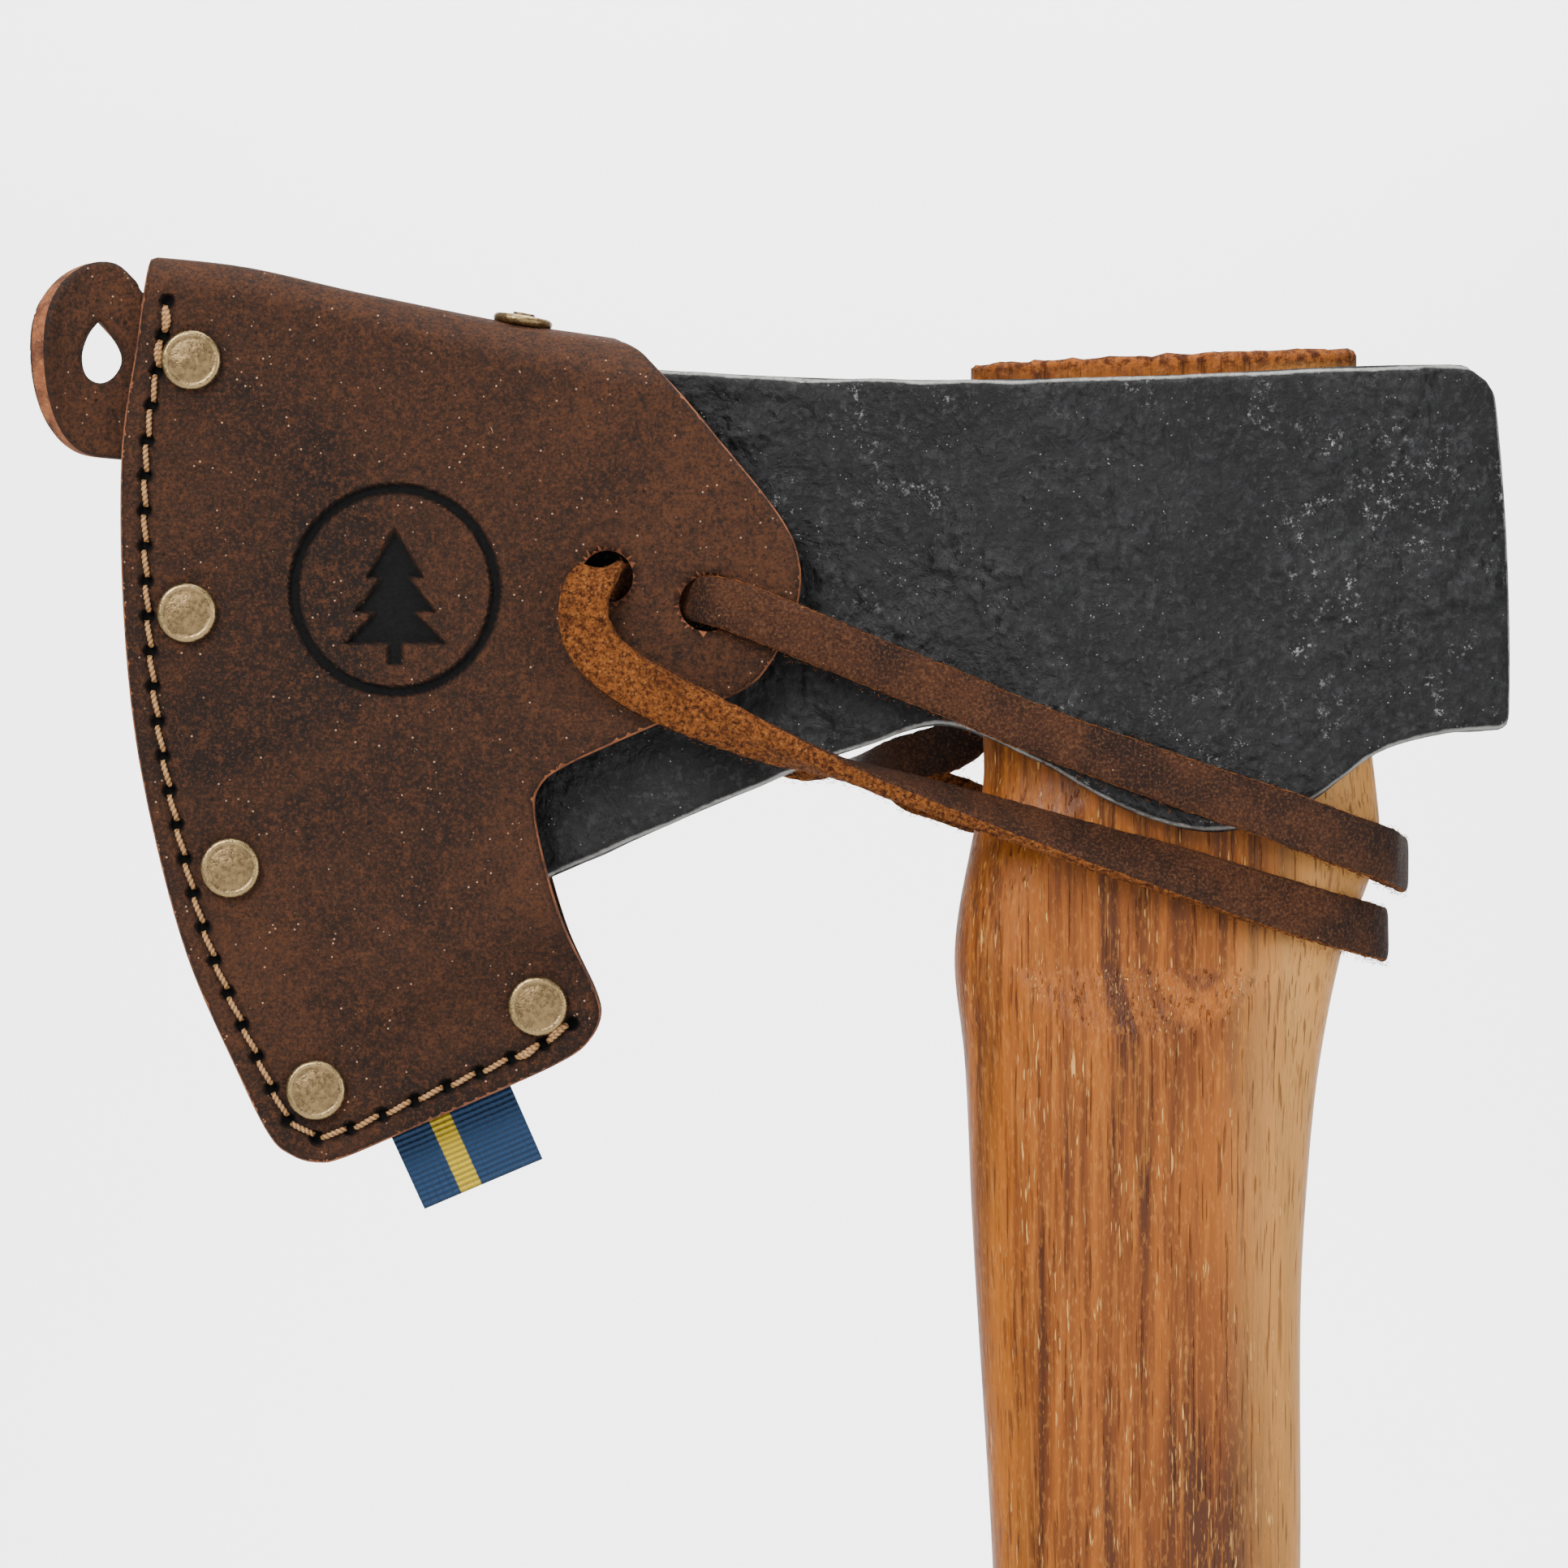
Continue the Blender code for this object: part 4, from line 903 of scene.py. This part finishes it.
def build_leather():
    """One panel from the fold down, then its mirrored copy joined to it along the fold."""
    border_side = smooth_path(SHEATH_OUTLINE, 0.8)
    border = unroll(border_side)
    border[0, 1] = border[-1, 1] = 0.0
    fold = np.linspace(border[-1, 0], border[0, 0], 66)[1:-1]
    loop = np.vstack([border, np.stack([fold, np.zeros(len(fold))], axis=1)])
    holes_side = [circle(x, height, RIVET_HOLE, 20) for x, height in RIVETS]
    holes_side += [circle(x, height, radius, 40) for x, height, radius in LACE_HOLES]
    holes = [unroll(hole) for hole in holes_side]
    stitches = unroll(stitch_points())
    stamp = unroll(np.array([STAMP_PLACE]))[0]
    coarse = lattice((-140, 0), (-48, 130), 1.0)
    fine = lattice((-140, 0), (-70, 130), 0.38)
    busy, detailed = (
        (np.linalg.norm(grid - stamp, axis=1) < STAMP_ZONE) | (distance_to(grid, stitches) < SEAM_ZONE)
        for grid in (coarse, fine)
    )
    edge_steps = (0.22, 0.5, 0.9)
    free = [coarse[~busy], fine[detailed], inset_rings(border, edge_steps, -1)]
    free += [inset_rings(hole, edge_steps, -1) for hole in holes]
    points, faces = fill_flat(loop, holes, np.vstack(free))

    side = np.stack([points[:, 0], side_height(points)], axis=1)
    cut = np.minimum.reduce([distance_to(points, line) for line in (border, *map(closed, holes))])
    pressed = stamp_depth(side)
    seam = stitch_points()
    to_stitch = np.min(np.linalg.norm(side[:, None, :] - seam[None, :, :], axis=2), axis=1)
    groove = ease(1.5 - distance_to(side, seam), 0, 1.2)
    dimple = ease(1.15 - to_stitch, 0, 0.45)
    to_rivet = np.min([np.linalg.norm(side - np.array(rivet), axis=1) for rivet in RIVETS], axis=0)
    seat = ease(5.2 - to_rivet, 0, 1.0)
    sink = rounded(cut, 0.9) * 0.75 + pressed * 0.9 + groove * 0.22 + dimple * 1.1 + seat * 0.15
    waves = 0.08 * np.sin(side[:, 0] * 0.21 + side[:, 1] * 0.13) * np.sin(side[:, 1] * 0.17 + 1.0)
    sink += (waves + 0.05) * ease(cut, 1.0, 12.0)
    outer = leather_places(points, sink)
    inner = leather_places(points, np.full(len(points), LEATHER))
    on_line = points[:, 1] < 1e-6
    outer[on_line, 1] = inner[on_line, 1] = 0.0
    bm = two_skins(faces, outer, inner, on_line)
    raw = cut[faces].mean(axis=1) < 0.3
    bm.faces.ensure_lookup_table()
    for k in np.flatnonzero(raw):
        bm.faces[2 * k].material_index = 1
    # Highest on the fold's top and over the bulge: rubbed wear there, and painted sheen as well.
    worn = 0.75 * ease(-points[:, 1], -11.0, -2.0) + 0.35 * ease(panel_gap(side), 6.0, 10.0)
    arc = np.linalg.norm(side - np.array((-73.6, -25.4)), axis=1)
    arc_ends = ease(side[:, 1], -25.0, -21.0) * ease(-side[:, 0], 69.0, 72.0)
    stains = [0.8 * ease(0.8 - np.abs(arc - 6.0), 0, 0.8) * arc_ends, 0.8 * ease(1.0 - cut, 0.0, 1.0)]
    stain = np.maximum.reduce([*stains, groove * 0.55])
    # The stamp's own dark colour, and painted shade round each stitch hole.
    stamp_and_hole_shade = np.maximum(pressed, ease(1.15 - to_stitch, 0.0, 0.3))
    layers = mark_skins(bm, {"pressed": stamp_and_hole_shade, "worn": worn, "stain": stain})
    everything = bm.verts[:] + bm.edges[:] + bm.faces[:]
    copy = bmesh.ops.duplicate(bm, geom=everything)["geom"]
    moved = [item for item in copy if isinstance(item, bmesh.types.BMVert)]
    bmesh.ops.scale(bm, vec=(1, -1, 1), verts=moved)
    # The far panel keeps the painted shade in its stitch holes, but not the stamp.
    stamp_x, stamp_height = STAMP_PLACE
    for vert in moved:
        away = abs(vert.co.x - stamp_x) > 16 or abs(vert.co.z - HEAD_TOP - stamp_height) > 16
        vert[layers["pressed"]] *= float(vert.co.y < 0.5 or away)
    bmesh.ops.remove_doubles(bm, verts=[vert for vert in bm.verts if abs(vert.co.y) < 0.001], dist=0.001)
    looks = [nubuck_look(), cut_edge_look()]
    finish_piece("sheath_panels", bm, looks, "sheath", ["sheath_leather"], sharp=45)


def build_stitching():
    """Each stitch is a short two-ply strand that dips into its holes."""
    holes = stitch_points()
    looks = [thread_look()]
    for name, side, node in (("stitching_near", -1, "thread_near"), ("stitching_far", 1, "thread_far")):
        bm = bmesh.new()
        ply = bm.verts.layers.float.new("ply")
        spans = [(k, 0.0) for k in range(len(holes) - 1)]
        spans += [(0, 0.5), (1, -0.4), (len(holes) - 2, 0.5), (len(holes) - 3, -0.4)]
        for k, lift in spans:
            add_stitch(bm, ply, holes[k], holes[k + 1], side, lift, k)
        finish_piece(name, bm, looks, "sheath", [node], sharp=180)


def add_stitch(bm, ply, start, end, side, lift, number):
    """One twisted strand from hole to hole. lift moves a doubled stitch beside the first one."""
    steps, sides, radius = 16, 10, 0.40
    along_it = (end - start) / np.linalg.norm(end - start)
    across = np.array((-along_it[1], along_it[0]))
    slant = 0.16 * side
    rings = []
    for k in range(steps + 1):
        t = k / steps
        bow = slant * math.cos(math.pi * t) + lift * math.sin(math.pi * t)
        at = start + (end - start) * (0.11 + 0.78 * t) + across * bow
        arch = math.sin(math.pi * t) ** 0.5
        skin = leather_places(unroll(np.array([at])), np.zeros(1))[0]
        out = -skin[1] - 0.9 + 1.14 * arch + abs(lift) * 0.4 * arch
        ring = []
        for j in range(sides):
            turn = 2 * math.pi * j / sides
            twist = math.cos(2 * (turn - 5.5 * math.pi * t + number * 0.7))
            size = radius * (0.9 + 0.17 * twist) * (0.82 + 0.18 * arch)
            sideways, outward = size * math.cos(turn), size * math.sin(turn)
            place = at + across * sideways
            vert = bm.verts.new((place[0], side * (out + outward), HEAD_TOP + place[1]))
            # ply is 0 in a valley and 1 on a crest; the thread's look paints the valleys as shade.
            vert[ply] = 0.5 + 0.5 * twist
            ring.append(vert)
        rings.append(ring)
    skin_over(bm, rings)


# ---------------------------------------------------------------- tab, tag and metalwork


def tab_bend(x, y):
    """Curls the tab towards the near side past the sheath's edge."""
    past = np.maximum(0.0, TAB_BEND_AT - x)
    reach = TAB_BEND_AT - min(point[0] for point in TAB_OUTLINE)
    full = math.radians(TAB_BEND_DEG)
    turn = full * past / reach
    radius = reach / full
    middle_x = np.maximum(x, TAB_BEND_AT) - radius * np.sin(turn)
    middle_y = -radius * (1 - np.cos(turn))
    return middle_x - y * np.sin(turn), middle_y + y * np.cos(turn)


def build_tab():
    """The tab, of even thickness between the panels, with its edges rounded and its end curled."""
    loop = smooth_path(TAB_OUTLINE + TAB_OUTLINE[:1], 0.8)[:-1]
    drop_hole = smooth_path(TAB_HOLE + TAB_HOLE[:1], 0.6)[:-1]
    holes = [drop_hole, circle(*RIVETS[0], RIVET_HOLE, 20)]
    edge_steps = (0.25, 0.55)
    free = [lattice(loop.min(axis=0), loop.max(axis=0), 1.0)]
    free += [inset_rings(loop, edge_steps, towards) for towards in (1, -1)]
    free += [inset_rings(hole, edge_steps, -1) for hole in holes]
    points, faces = fill_flat(loop, holes, np.vstack(free))
    cut = np.minimum.reduce([distance_to(points, closed(each)) for each in (loop, *holes)])
    skins = []
    for sign in (-1, 1):
        x, y = tab_bend(points[:, 0], sign * (WELT / 2 - rounded(cut, 0.7) * 0.8))
        skins.append(np.stack([x, y, points[:, 1] + HEAD_TOP], axis=1))
    bm = two_skins(faces, *skins)
    mark_skins(bm, {"worn": [0.35] * len(points), "stain": 0.6 * (cut < 0.5)})
    looks = [nubuck_look("tab_nubuck"), cut_edge_look()]
    finish_piece("tab_leather", bm, looks, "sheath", ["hang_tab"], sharp=60)


def build_tag():
    """A folded ribbon: two layers with a rounded fold at the free end."""
    a, b, c, d = (np.array(corner) for corner in TAG_CORNERS)
    columns, rows = 30, 26
    bm = bmesh.new()
    stripe = bm.verts.layers.float.new("stripe")
    grid = []
    for j in range(2 * rows + 1):
        down = 1 - abs(j - rows) / rows
        layer = -1 if j < rows else 1
        half = 0.42 * math.sqrt(max(0.0, 1 - (max(0.0, down - 0.92) / 0.08) ** 2))
        row = []
        for i in range(columns + 1):
            part = i / columns
            place = (a * (1 - part) + d * part) * (1 - down) + (b * (1 - part) + c * part) * down
            wave = 0.5 * down * math.sin(2.6 * part + 0.4) + 0.12 * math.sin(9 * part + 4 * down)
            vert = bm.verts.new((place[0], layer * half + wave * down, place[1] + HEAD_TOP))
            vert[stripe] = max(0.0, 1 - abs(part - 0.40) / 0.17)
            row.append(vert)
        grid.append(row)
    for first, second in zip(grid, grid[1:]):
        for i in range(columns):
            bm.faces.new((first[i], first[i + 1], second[i + 1], second[i]))
    bmesh.ops.recalc_face_normals(bm, faces=bm.faces)
    bmesh.ops.solidify(bm, geom=bm.faces[:], thickness=0.28)
    finish_piece("ribbon_tag", bm, [ribbon_look()], "sheath", ["woven_tag"], sharp=60)


def place_turned(bm, centre, axis):
    """Stands a turned mesh on a point with its +Z along an axis."""
    turn = Vector((0, 0, 1)).rotation_difference(Vector(axis)).to_matrix().to_4x4()
    bmesh.ops.transform(bm, matrix=turn, verts=bm.verts)
    bmesh.ops.translate(bm, vec=centre, verts=bm.verts)


def cap_profile():
    """Half of a rivet cap: a low dome with a rolled rim, from its middle down to its foot."""
    dome = [(3.05 * k / 8, 1.55 - 0.32 * (k / 8) ** 2) for k in range(9)]
    rolled = [(3.42 + 0.58 * math.sin(a), 0.72 + 0.62 * math.cos(a)) for a in np.linspace(-0.5, 2.2, 10)]
    return dome + rolled + [(3.7, 0.12), (3.4, 0.0), (0.0, 0.0)]


def cap_mesh():
    """A rivet cap about Z, its rolled rim marked as polished."""
    bm = turned(cap_profile(), 48)
    rim = bm.verts.layers.float.new("rim")
    for vert in bm.verts:
        vert[rim] = float(3.2 < math.hypot(vert.co.x, vert.co.y) < 3.95)
    return bm


def build_rivets():
    """Near and far caps for each rivet, the far one with the shank, and the stud on the fold."""
    brass = brass_look()
    places = np.array(RIVETS)
    skin = leather_places(unroll(places), np.zeros(len(places)))
    for number, ((x, height), on_skin) in enumerate(zip(RIVETS, skin), 1):
        seat = -on_skin[1] - 0.2
        for kind, side in (("cap", -1), ("post", 1)):
            bm = cap_mesh()
            for vert in bm.verts:
                vert.co.z += 0.05 * noise.noise(Vector((vert.co.x, vert.co.y, number * 3.0 + side)) * 0.6)
            if kind == "post":
                size = {"radius1": 1.5, "radius2": 1.5, "depth": 2 * seat}
                shank = bmesh.ops.create_cone(bm, cap_ends=True, segments=24, **size)
                bmesh.ops.translate(bm, vec=(0, 0, 0.2 - seat), verts=shank["verts"])
            place_turned(bm, (x, side * seat, HEAD_TOP + height), (0, side, 0))
            node = f"rivet_{kind}_{number}"
            finish_piece(f"{node}_metal", bm, [brass], "sheath", [node])
    rise = float(key_curve(FOLD_LINE, STUD_X + 5) - key_curve(FOLD_LINE, STUD_X - 5))
    up = Vector((-rise, 0, 10.0)).normalized()
    foot = Vector((STUD_X, 0, HEAD_TOP + float(key_curve(FOLD_LINE, STUD_X))))
    bm = cap_mesh()
    place_turned(bm, foot - up * 0.35, up)
    finish_piece("stud_metal", bm, [brass], "sheath", ["stud_cap"])
    dress_node("stud_post", brass)


# ---------------------------------------------------------------- lace


def faced(run):
    """Turns (x, y, height, turn, width share, roll) rows into a place, a face direction and a width share."""
    rows = []
    for k, (x, y, height, turn, wide, roll) in enumerate(run):
        before, after = run[max(0, k - 1)][:3], run[min(len(run) - 1, k + 1)][:3]
        tangent = (Vector(after) - Vector(before)).normalized()
        face = Vector((math.cos(math.radians(turn)), math.sin(math.radians(turn)), 0))
        face = (face - tangent * face.dot(tangent)).normalized()
        lean = math.radians(roll)
        face = face * math.cos(lean) + tangent.cross(face) * math.sin(lean)
        rows.append((x, y, height, *face, wide))
    return rows


def far_side(rows):
    """The same rows on the far side."""
    return [(x, -y, height, fx, -fy, fz, wide) for x, y, height, fx, fy, fz, wide in rows]


def lace_route():
    """The lace from its first end on the far side, twice round the handle's back, to its last end."""
    near = [
        (31.0, -4.6, -64.3, -16, 1.08, 0),
        (28.8, -9.4, -63.3, -42, 1.08, 0),
        (22.7, -13.9, -61.2, -72, 1.06, 0),
        (14.0, -15.9, -58.0, -90, 1.03, 0),
        (2.3, -16.0, -54.0, -90, 1.0, 0),
        (-8.5, -16.0, -50.2, -90, 0.97, 0),
        (-19.3, -15.6, -46.1, -90, 0.95, 0),
        (-30.1, -15.2, -41.5, -90, 0.95, 0),
        (-40.9, -14.8, -37.2, -90, 0.96, 0),
        (-51.7, -14.4, -32.7, -90, 1.0, 0),
        (-57.6, -14.0, -30.4, -90, 1.0, 0),
        (-61.0, -12.6, -29.6, -100, 0.95, 0),
        (-63.0, -9.6, -29.4, -110, 0.8, 0),
        (-65.0, -8.1, -29.0, -95, 0.8, 0),
        (-68.4, -7.6, -28.1, -90, 0.85, 0),
        (-71.2, -7.5, -27.4, -80, 0.8, 0),
        (-73.2, -8.7, -26.8, -40, 0.75, -25),
        (-74.4, -10.9, -26.2, -10, 0.8, -65),
        (-75.6, -12.9, -26.4, 0, 0.9, -88),
        (-76.9, -13.9, -28.6, -20, 0.95, -110),
        (-77.2, -14.0, -32.8, -70, 1.0, -160),
        (-74.8, -14.0, -37.2, -90, 1.03, -174),
        (-69.0, -14.1, -41.4, -90, 1.03, -162),
        (-61.5, -14.3, -45.0, -90, 1.0, -148),
        (-54.5, -14.6, -48.0, -90, 0.98, -128),
        (-47.4, -14.9, -50.6, -90, 0.97, -104),
        (-39.9, -15.2, -53.0, -90, 0.97, -82),
        (-31.2, -15.4, -55.7, -90, 0.98, -66),
        (-20.4, -15.4, -59.0, -90, 1.0, -52),
        (-9.6, -15.1, -62.4, -90, 1.02, -40),
        (1.2, -14.5, -65.6, -90, 1.04, -28),
        (10.6, -13.5, -68.6, -86, 1.05, -16),
        (18.5, -12.0, -71.0, -68, 1.06, -6),
        (24.8, -8.2, -72.8, -40, 1.06, 0),
        (28.4, -4.0, -73.8, -16, 1.06, 0),
    ]
    near = faced(near)
    # On the far side it lies mirrored as far as its first crossing, and again after its last one.
    first = [(-22.6, 14.7, -47.4, 0, -1, 0, 0.1), (-24.0, 14.6, -47.8, 0, -1, 0, 0.55)]
    first += [(-28.0, 14.1, -48.9, 0, -1, 0.1, 0.95), (-34.0, 13.2, -50.6, 0, -0.9, 0.4, 1)]
    first += [(-42.0, 12.8, -51.8, 0, -0.2, 1.0, 1), (-50.0, 13.7, -50.2, 0, 0.8, 0.6, 1)]
    last = [(-28.0, 14.2, -56.2, 0, 1, 0, 1), (-34.0, 15.0, -54.4, 0, 1, 0, 0.9)]
    last += [(-38.0, 15.0, -53.2, 0, 1, 0, 0.3)]
    far_out = far_side(near[:24])[::-1]
    far_back = far_side(near[28:])[::-1]
    backs = [(31.9, 0.0, -64.8, 1, 0, 0, 1.08), (29.2, 0.0, -74.1, 1, 0, 0, 1.06)]
    return first + far_out + backs[:1] + near + backs[1:] + far_back + last


def add_fibres(bm, suede, count):
    """Short loose fibres, thin three-sided spikes, standing out of the suede and the cut edges."""
    bm.normal_update()
    roots = [vert for vert in bm.verts if vert[suede] > 0.5]
    grow = random.Random(7)
    spikes = []
    for _ in range(count):
        root = grow.choice(roots)
        lean = Vector((grow.uniform(-1, 1), grow.uniform(-1, 1), grow.uniform(-1.2, 0.5)))
        way = (root.normal * 0.8 + lean).normalized()
        start = root.co + lean * 0.3 - root.normal * 0.25
        spikes.append((start, way, grow.uniform(0.5, 1.15)))
    for start, way, length in spikes:
        side = way.orthogonal().normalized() * 0.05
        foot = []
        for k in range(3):
            vert = bm.verts.new(start + Matrix.Rotation(2 * math.pi * k / 3, 3, way) @ side)
            vert[suede] = 1.0
            foot.append(vert)
        tip = bm.verts.new(start + way * length)
        tip[suede] = 1.0
        bm.faces.new((foot[2], foot[1], foot[0]))
        for k in range(3):
            bm.faces.new((foot[k], foot[(k + 1) % 3], tip))


def build_lace():
    """A flat strip with one smooth face, fuzzy on the other face and along its edges."""
    width = bpy.context.scene.axe_sizes.lace_width / MM
    path = smooth_path(lace_route(), 0.7)
    sides = 32
    outline = []
    for j in range(sides):
        turn = 2 * math.pi * (j + 0.5) / sides
        across = math.copysign(abs(math.cos(turn)) ** 0.42, math.cos(turn))
        out = math.copysign(abs(math.sin(turn)) ** 0.55, math.sin(turn))
        outline.append((across, out))
    bm = bmesh.new()
    suede = bm.verts.layers.float.new("suede")
    rings = []
    bunch, last_across = 1.0, Vector((0, 0, 1))
    for k, row in enumerate(path):
        before, after = path[max(0, k - 2)][:3], path[min(len(path) - 1, k + 2)][:3]
        tangent = Vector(after - before).normalized()
        face = Vector(row[3:6])
        face = (face - tangent * face.dot(tangent)).normalized()
        across = tangent.cross(face)
        twist = abs((across - last_across).dot(face)) if abs(row[1]) > 13.8 else 0.0
        last_across = across
        bunch += (1 + min(0.7, 32 * twist) - bunch) * 0.12
        middle = Vector((row[0], row[1], HEAD_TOP + row[2]))
        ring = []
        for side, out in outline:
            spot = middle + across * (width / 2 * row[6] * side)
            fuzzy = 1.0 if out < 0.30 or abs(side) > 0.96 else 0.0
            rough = noise.noise(spot * 1.9) * 0.14 + noise.noise(spot * 0.5) * 0.12
            lift = out * LACE_THICK / 2 * bunch + rough * (0.3 + fuzzy) * math.copysign(1, out)
            edge = (noise.noise(spot * 1.6) * 0.16 + noise.noise(spot * 0.4) * 0.1) * math.copysign(1, side)
            vert = bm.verts.new(spot + face * lift + across * edge)
            vert[suede] = fuzzy
            ring.append(vert)
        rings.append(ring)
    skin_over(bm, rings)
    add_fibres(bm, suede, LACE_FIBRES)
    piece = finish_piece("lace_strip", bm, [lace_look()], "sheath", ["lace"], sharp=180)
    line = [(x * MM, y * MM, (HEAD_TOP + height) * MM) for x, y, height in path[:, :3]]
    line[::3] + line[-1:]


# ---------------------------------------------------------------- floor, lights and camera


def plain_look(name, colour, roughness):
    """Paper: one colour, very slightly clouded."""
    look = Look(name, roughness=roughness)
    tone = look.mix(look.band(look.noise(3.0, 2), 0.3, 0.7), colour, tuple(c * 0.985 for c in colour))
    return look.done(tone, roughness)


def build_stage():
    """A pale floor that curves up behind into a backdrop, soft lights and the camera."""
    bm = bmesh.new()
    profile = [(-9.0, 0.0), (4.2, 0.0)]
    profile += [(4.2 + 0.9 * math.sin(a), 0.9 * (1 - math.cos(a))) for a in np.linspace(0.1, math.pi / 2, 14)]
    profile.append((5.1, 3.4))
    rows = [[bm.verts.new((x, y, z - 0.0006)) for y, z in profile] for x in (-9.0, 9.0)]
    for k in range(len(profile) - 1):
        bm.faces.new((rows[0][k], rows[1][k], rows[1][k + 1], rows[0][k + 1]))
    mesh = bpy.data.meshes.new("backdrop")
    bm.to_mesh(mesh)
    bm.free()
    mesh.shade_smooth()
    mesh.materials.append(plain_look("backdrop_paper", (0.86, 0.86, 0.86), 0.9))
    floor = bpy.data.objects.new("backdrop", mesh)
    bpy.context.collection.objects.link(floor)

    for name, place, size, power, aim in LAMPS:
        lamp = bpy.data.lights.new(name, "AREA")
        lamp.shape = "SQUARE"
        lamp.size = size
        lamp.energy = power * bpy.context.scene.axe_sizes.light_strength
        light = bpy.data.objects.new(name, lamp)
        light.location = place
        light.rotation_euler = (aim - light.location).to_track_quat("-Z", "Y").to_euler()
        bpy.context.collection.objects.link(light)
    world = bpy.data.worlds.new("studio")
    world.use_nodes = True
    world.node_tree.nodes["Background"].inputs["Color"].default_value = (1, 1, 1, 1)
    world.node_tree.nodes["Background"].inputs["Strength"].default_value = 0.45
    bpy.context.scene.world = world

    camera_data = bpy.data.cameras.new("camera")
    camera_data.sensor_width = SENSOR_WIDTH
    camera_data.lens = SENSOR_WIDTH * CAMERA_DISTANCE / VIEW_WIDTH
    camera = bpy.data.objects.new("camera", camera_data)
    camera.location = (VIEW_CENTRE[0], -CAMERA_DISTANCE - CAMERA_CLEAR, VIEW_CENTRE[1])
    camera.rotation_euler = (math.pi / 2, 0, 0)
    bpy.context.collection.objects.link(camera)
    bpy.context.scene.camera = camera


# ---------------------------------------------------------------- add-on


class AxeSizes(bpy.types.PropertyGroup):
    """The sizes and colours a user may change."""

    lace_width: bpy.props.FloatProperty(
        name="Lace width", description="Width of the leather lace", default=0.0068, unit="LENGTH"
    )
    leather_colour: bpy.props.FloatVectorProperty(
        name="Leather", description="Main colour of the nubuck", default=rgb(54, 31, 17), subtype="COLOR"
    )
    tag_colour: bpy.props.FloatVectorProperty(
        name="Tag", description="Ground colour of the woven tag", default=rgb(4, 50, 88), subtype="COLOR"
    )
    light_strength: bpy.props.FloatProperty(
        name="Lights", description="Strength of the studio lights", default=1.12
    )


class AXE_OT_stage(bpy.types.Operator):
    """Build the backdrop, the lights and the camera"""

    bl_idname = "axe.stage"
    bl_label = "Stage"

    def execute(self, context):
        build_stage()
        return {"FINISHED"}


class AXE_OT_handle(bpy.types.Operator):
    """Build the oiled wooden handle"""

    bl_idname = "axe.handle"
    bl_label = "Handle"

    def execute(self, context):
        build_handle()
        return {"FINISHED"}


class AXE_OT_head(bpy.types.Operator):
    """Build the forged head"""

    bl_idname = "axe.head"
    bl_label = "Head"

    def execute(self, context):
        build_head()
        return {"FINISHED"}


class AXE_OT_leather(bpy.types.Operator):
    """Build the folded sheath leather and show the welt's raw edge"""

    bl_idname = "axe.leather"
    bl_label = "Sheath leather"

    def execute(self, context):
        build_leather()
        dress_node("edge_welt", cut_edge_look())
        return {"FINISHED"}


class AXE_OT_stitching(bpy.types.Operator):
    """Build both runs of stitching"""

    bl_idname = "axe.stitching"
    bl_label = "Stitching"

    def execute(self, context):
        build_stitching()
        return {"FINISHED"}


class AXE_OT_trim(bpy.types.Operator):
    """Build the hang tab and the woven tag"""

    bl_idname = "axe.trim"
    bl_label = "Tab and tag"

    def execute(self, context):
        build_tab()
        build_tag()
        return {"FINISHED"}


class AXE_OT_rivets(bpy.types.Operator):
    """Build the rivets and the stud"""

    bl_idname = "axe.rivets"
    bl_label = "Rivets"

    def execute(self, context):
        build_rivets()
        return {"FINISHED"}


class AXE_OT_lace(bpy.types.Operator):
    """Build the leather lace"""

    bl_idname = "axe.lace"
    bl_label = "Lace"

    def execute(self, context):
        build_lace()
        return {"FINISHED"}


class AXE_PT_panel(bpy.types.Panel):
    """Sizes, colours and the building steps"""

    bl_label = "Felling axe"
    bl_idname = "AXE_PT_panel"
    bl_space_type = "VIEW_3D"
    bl_region_type = "UI"
    bl_category = "Axe"

    def draw(self, context):
        sizes = context.scene.axe_sizes
        for name in ("lace_width", "leather_colour", "tag_colour", "light_strength"):
            self.layout.prop(sizes, name)
        for step in STEPS:
            self.layout.operator(step.bl_idname)


STEPS = (
    AXE_OT_stage,
    AXE_OT_lace,
    AXE_OT_handle,
    AXE_OT_head,
    AXE_OT_leather,
    AXE_OT_stitching,
    AXE_OT_trim,
    AXE_OT_rivets,
)
CLASSES = (AxeSizes, *STEPS, AXE_PT_panel)


def register():
    for each in CLASSES:
        bpy.utils.register_class(each)
    bpy.types.Scene.axe_sizes = bpy.props.PointerProperty(type=AxeSizes)


def unregister():
    del bpy.types.Scene.axe_sizes
    for each in reversed(CLASSES):
        bpy.utils.unregister_class(each)


def main():
    register()
    for step in STEPS:
        group, name = step.bl_idname.split(".")
        getattr(getattr(bpy.ops, group), name)()


if __name__ == "__main__":
    main()
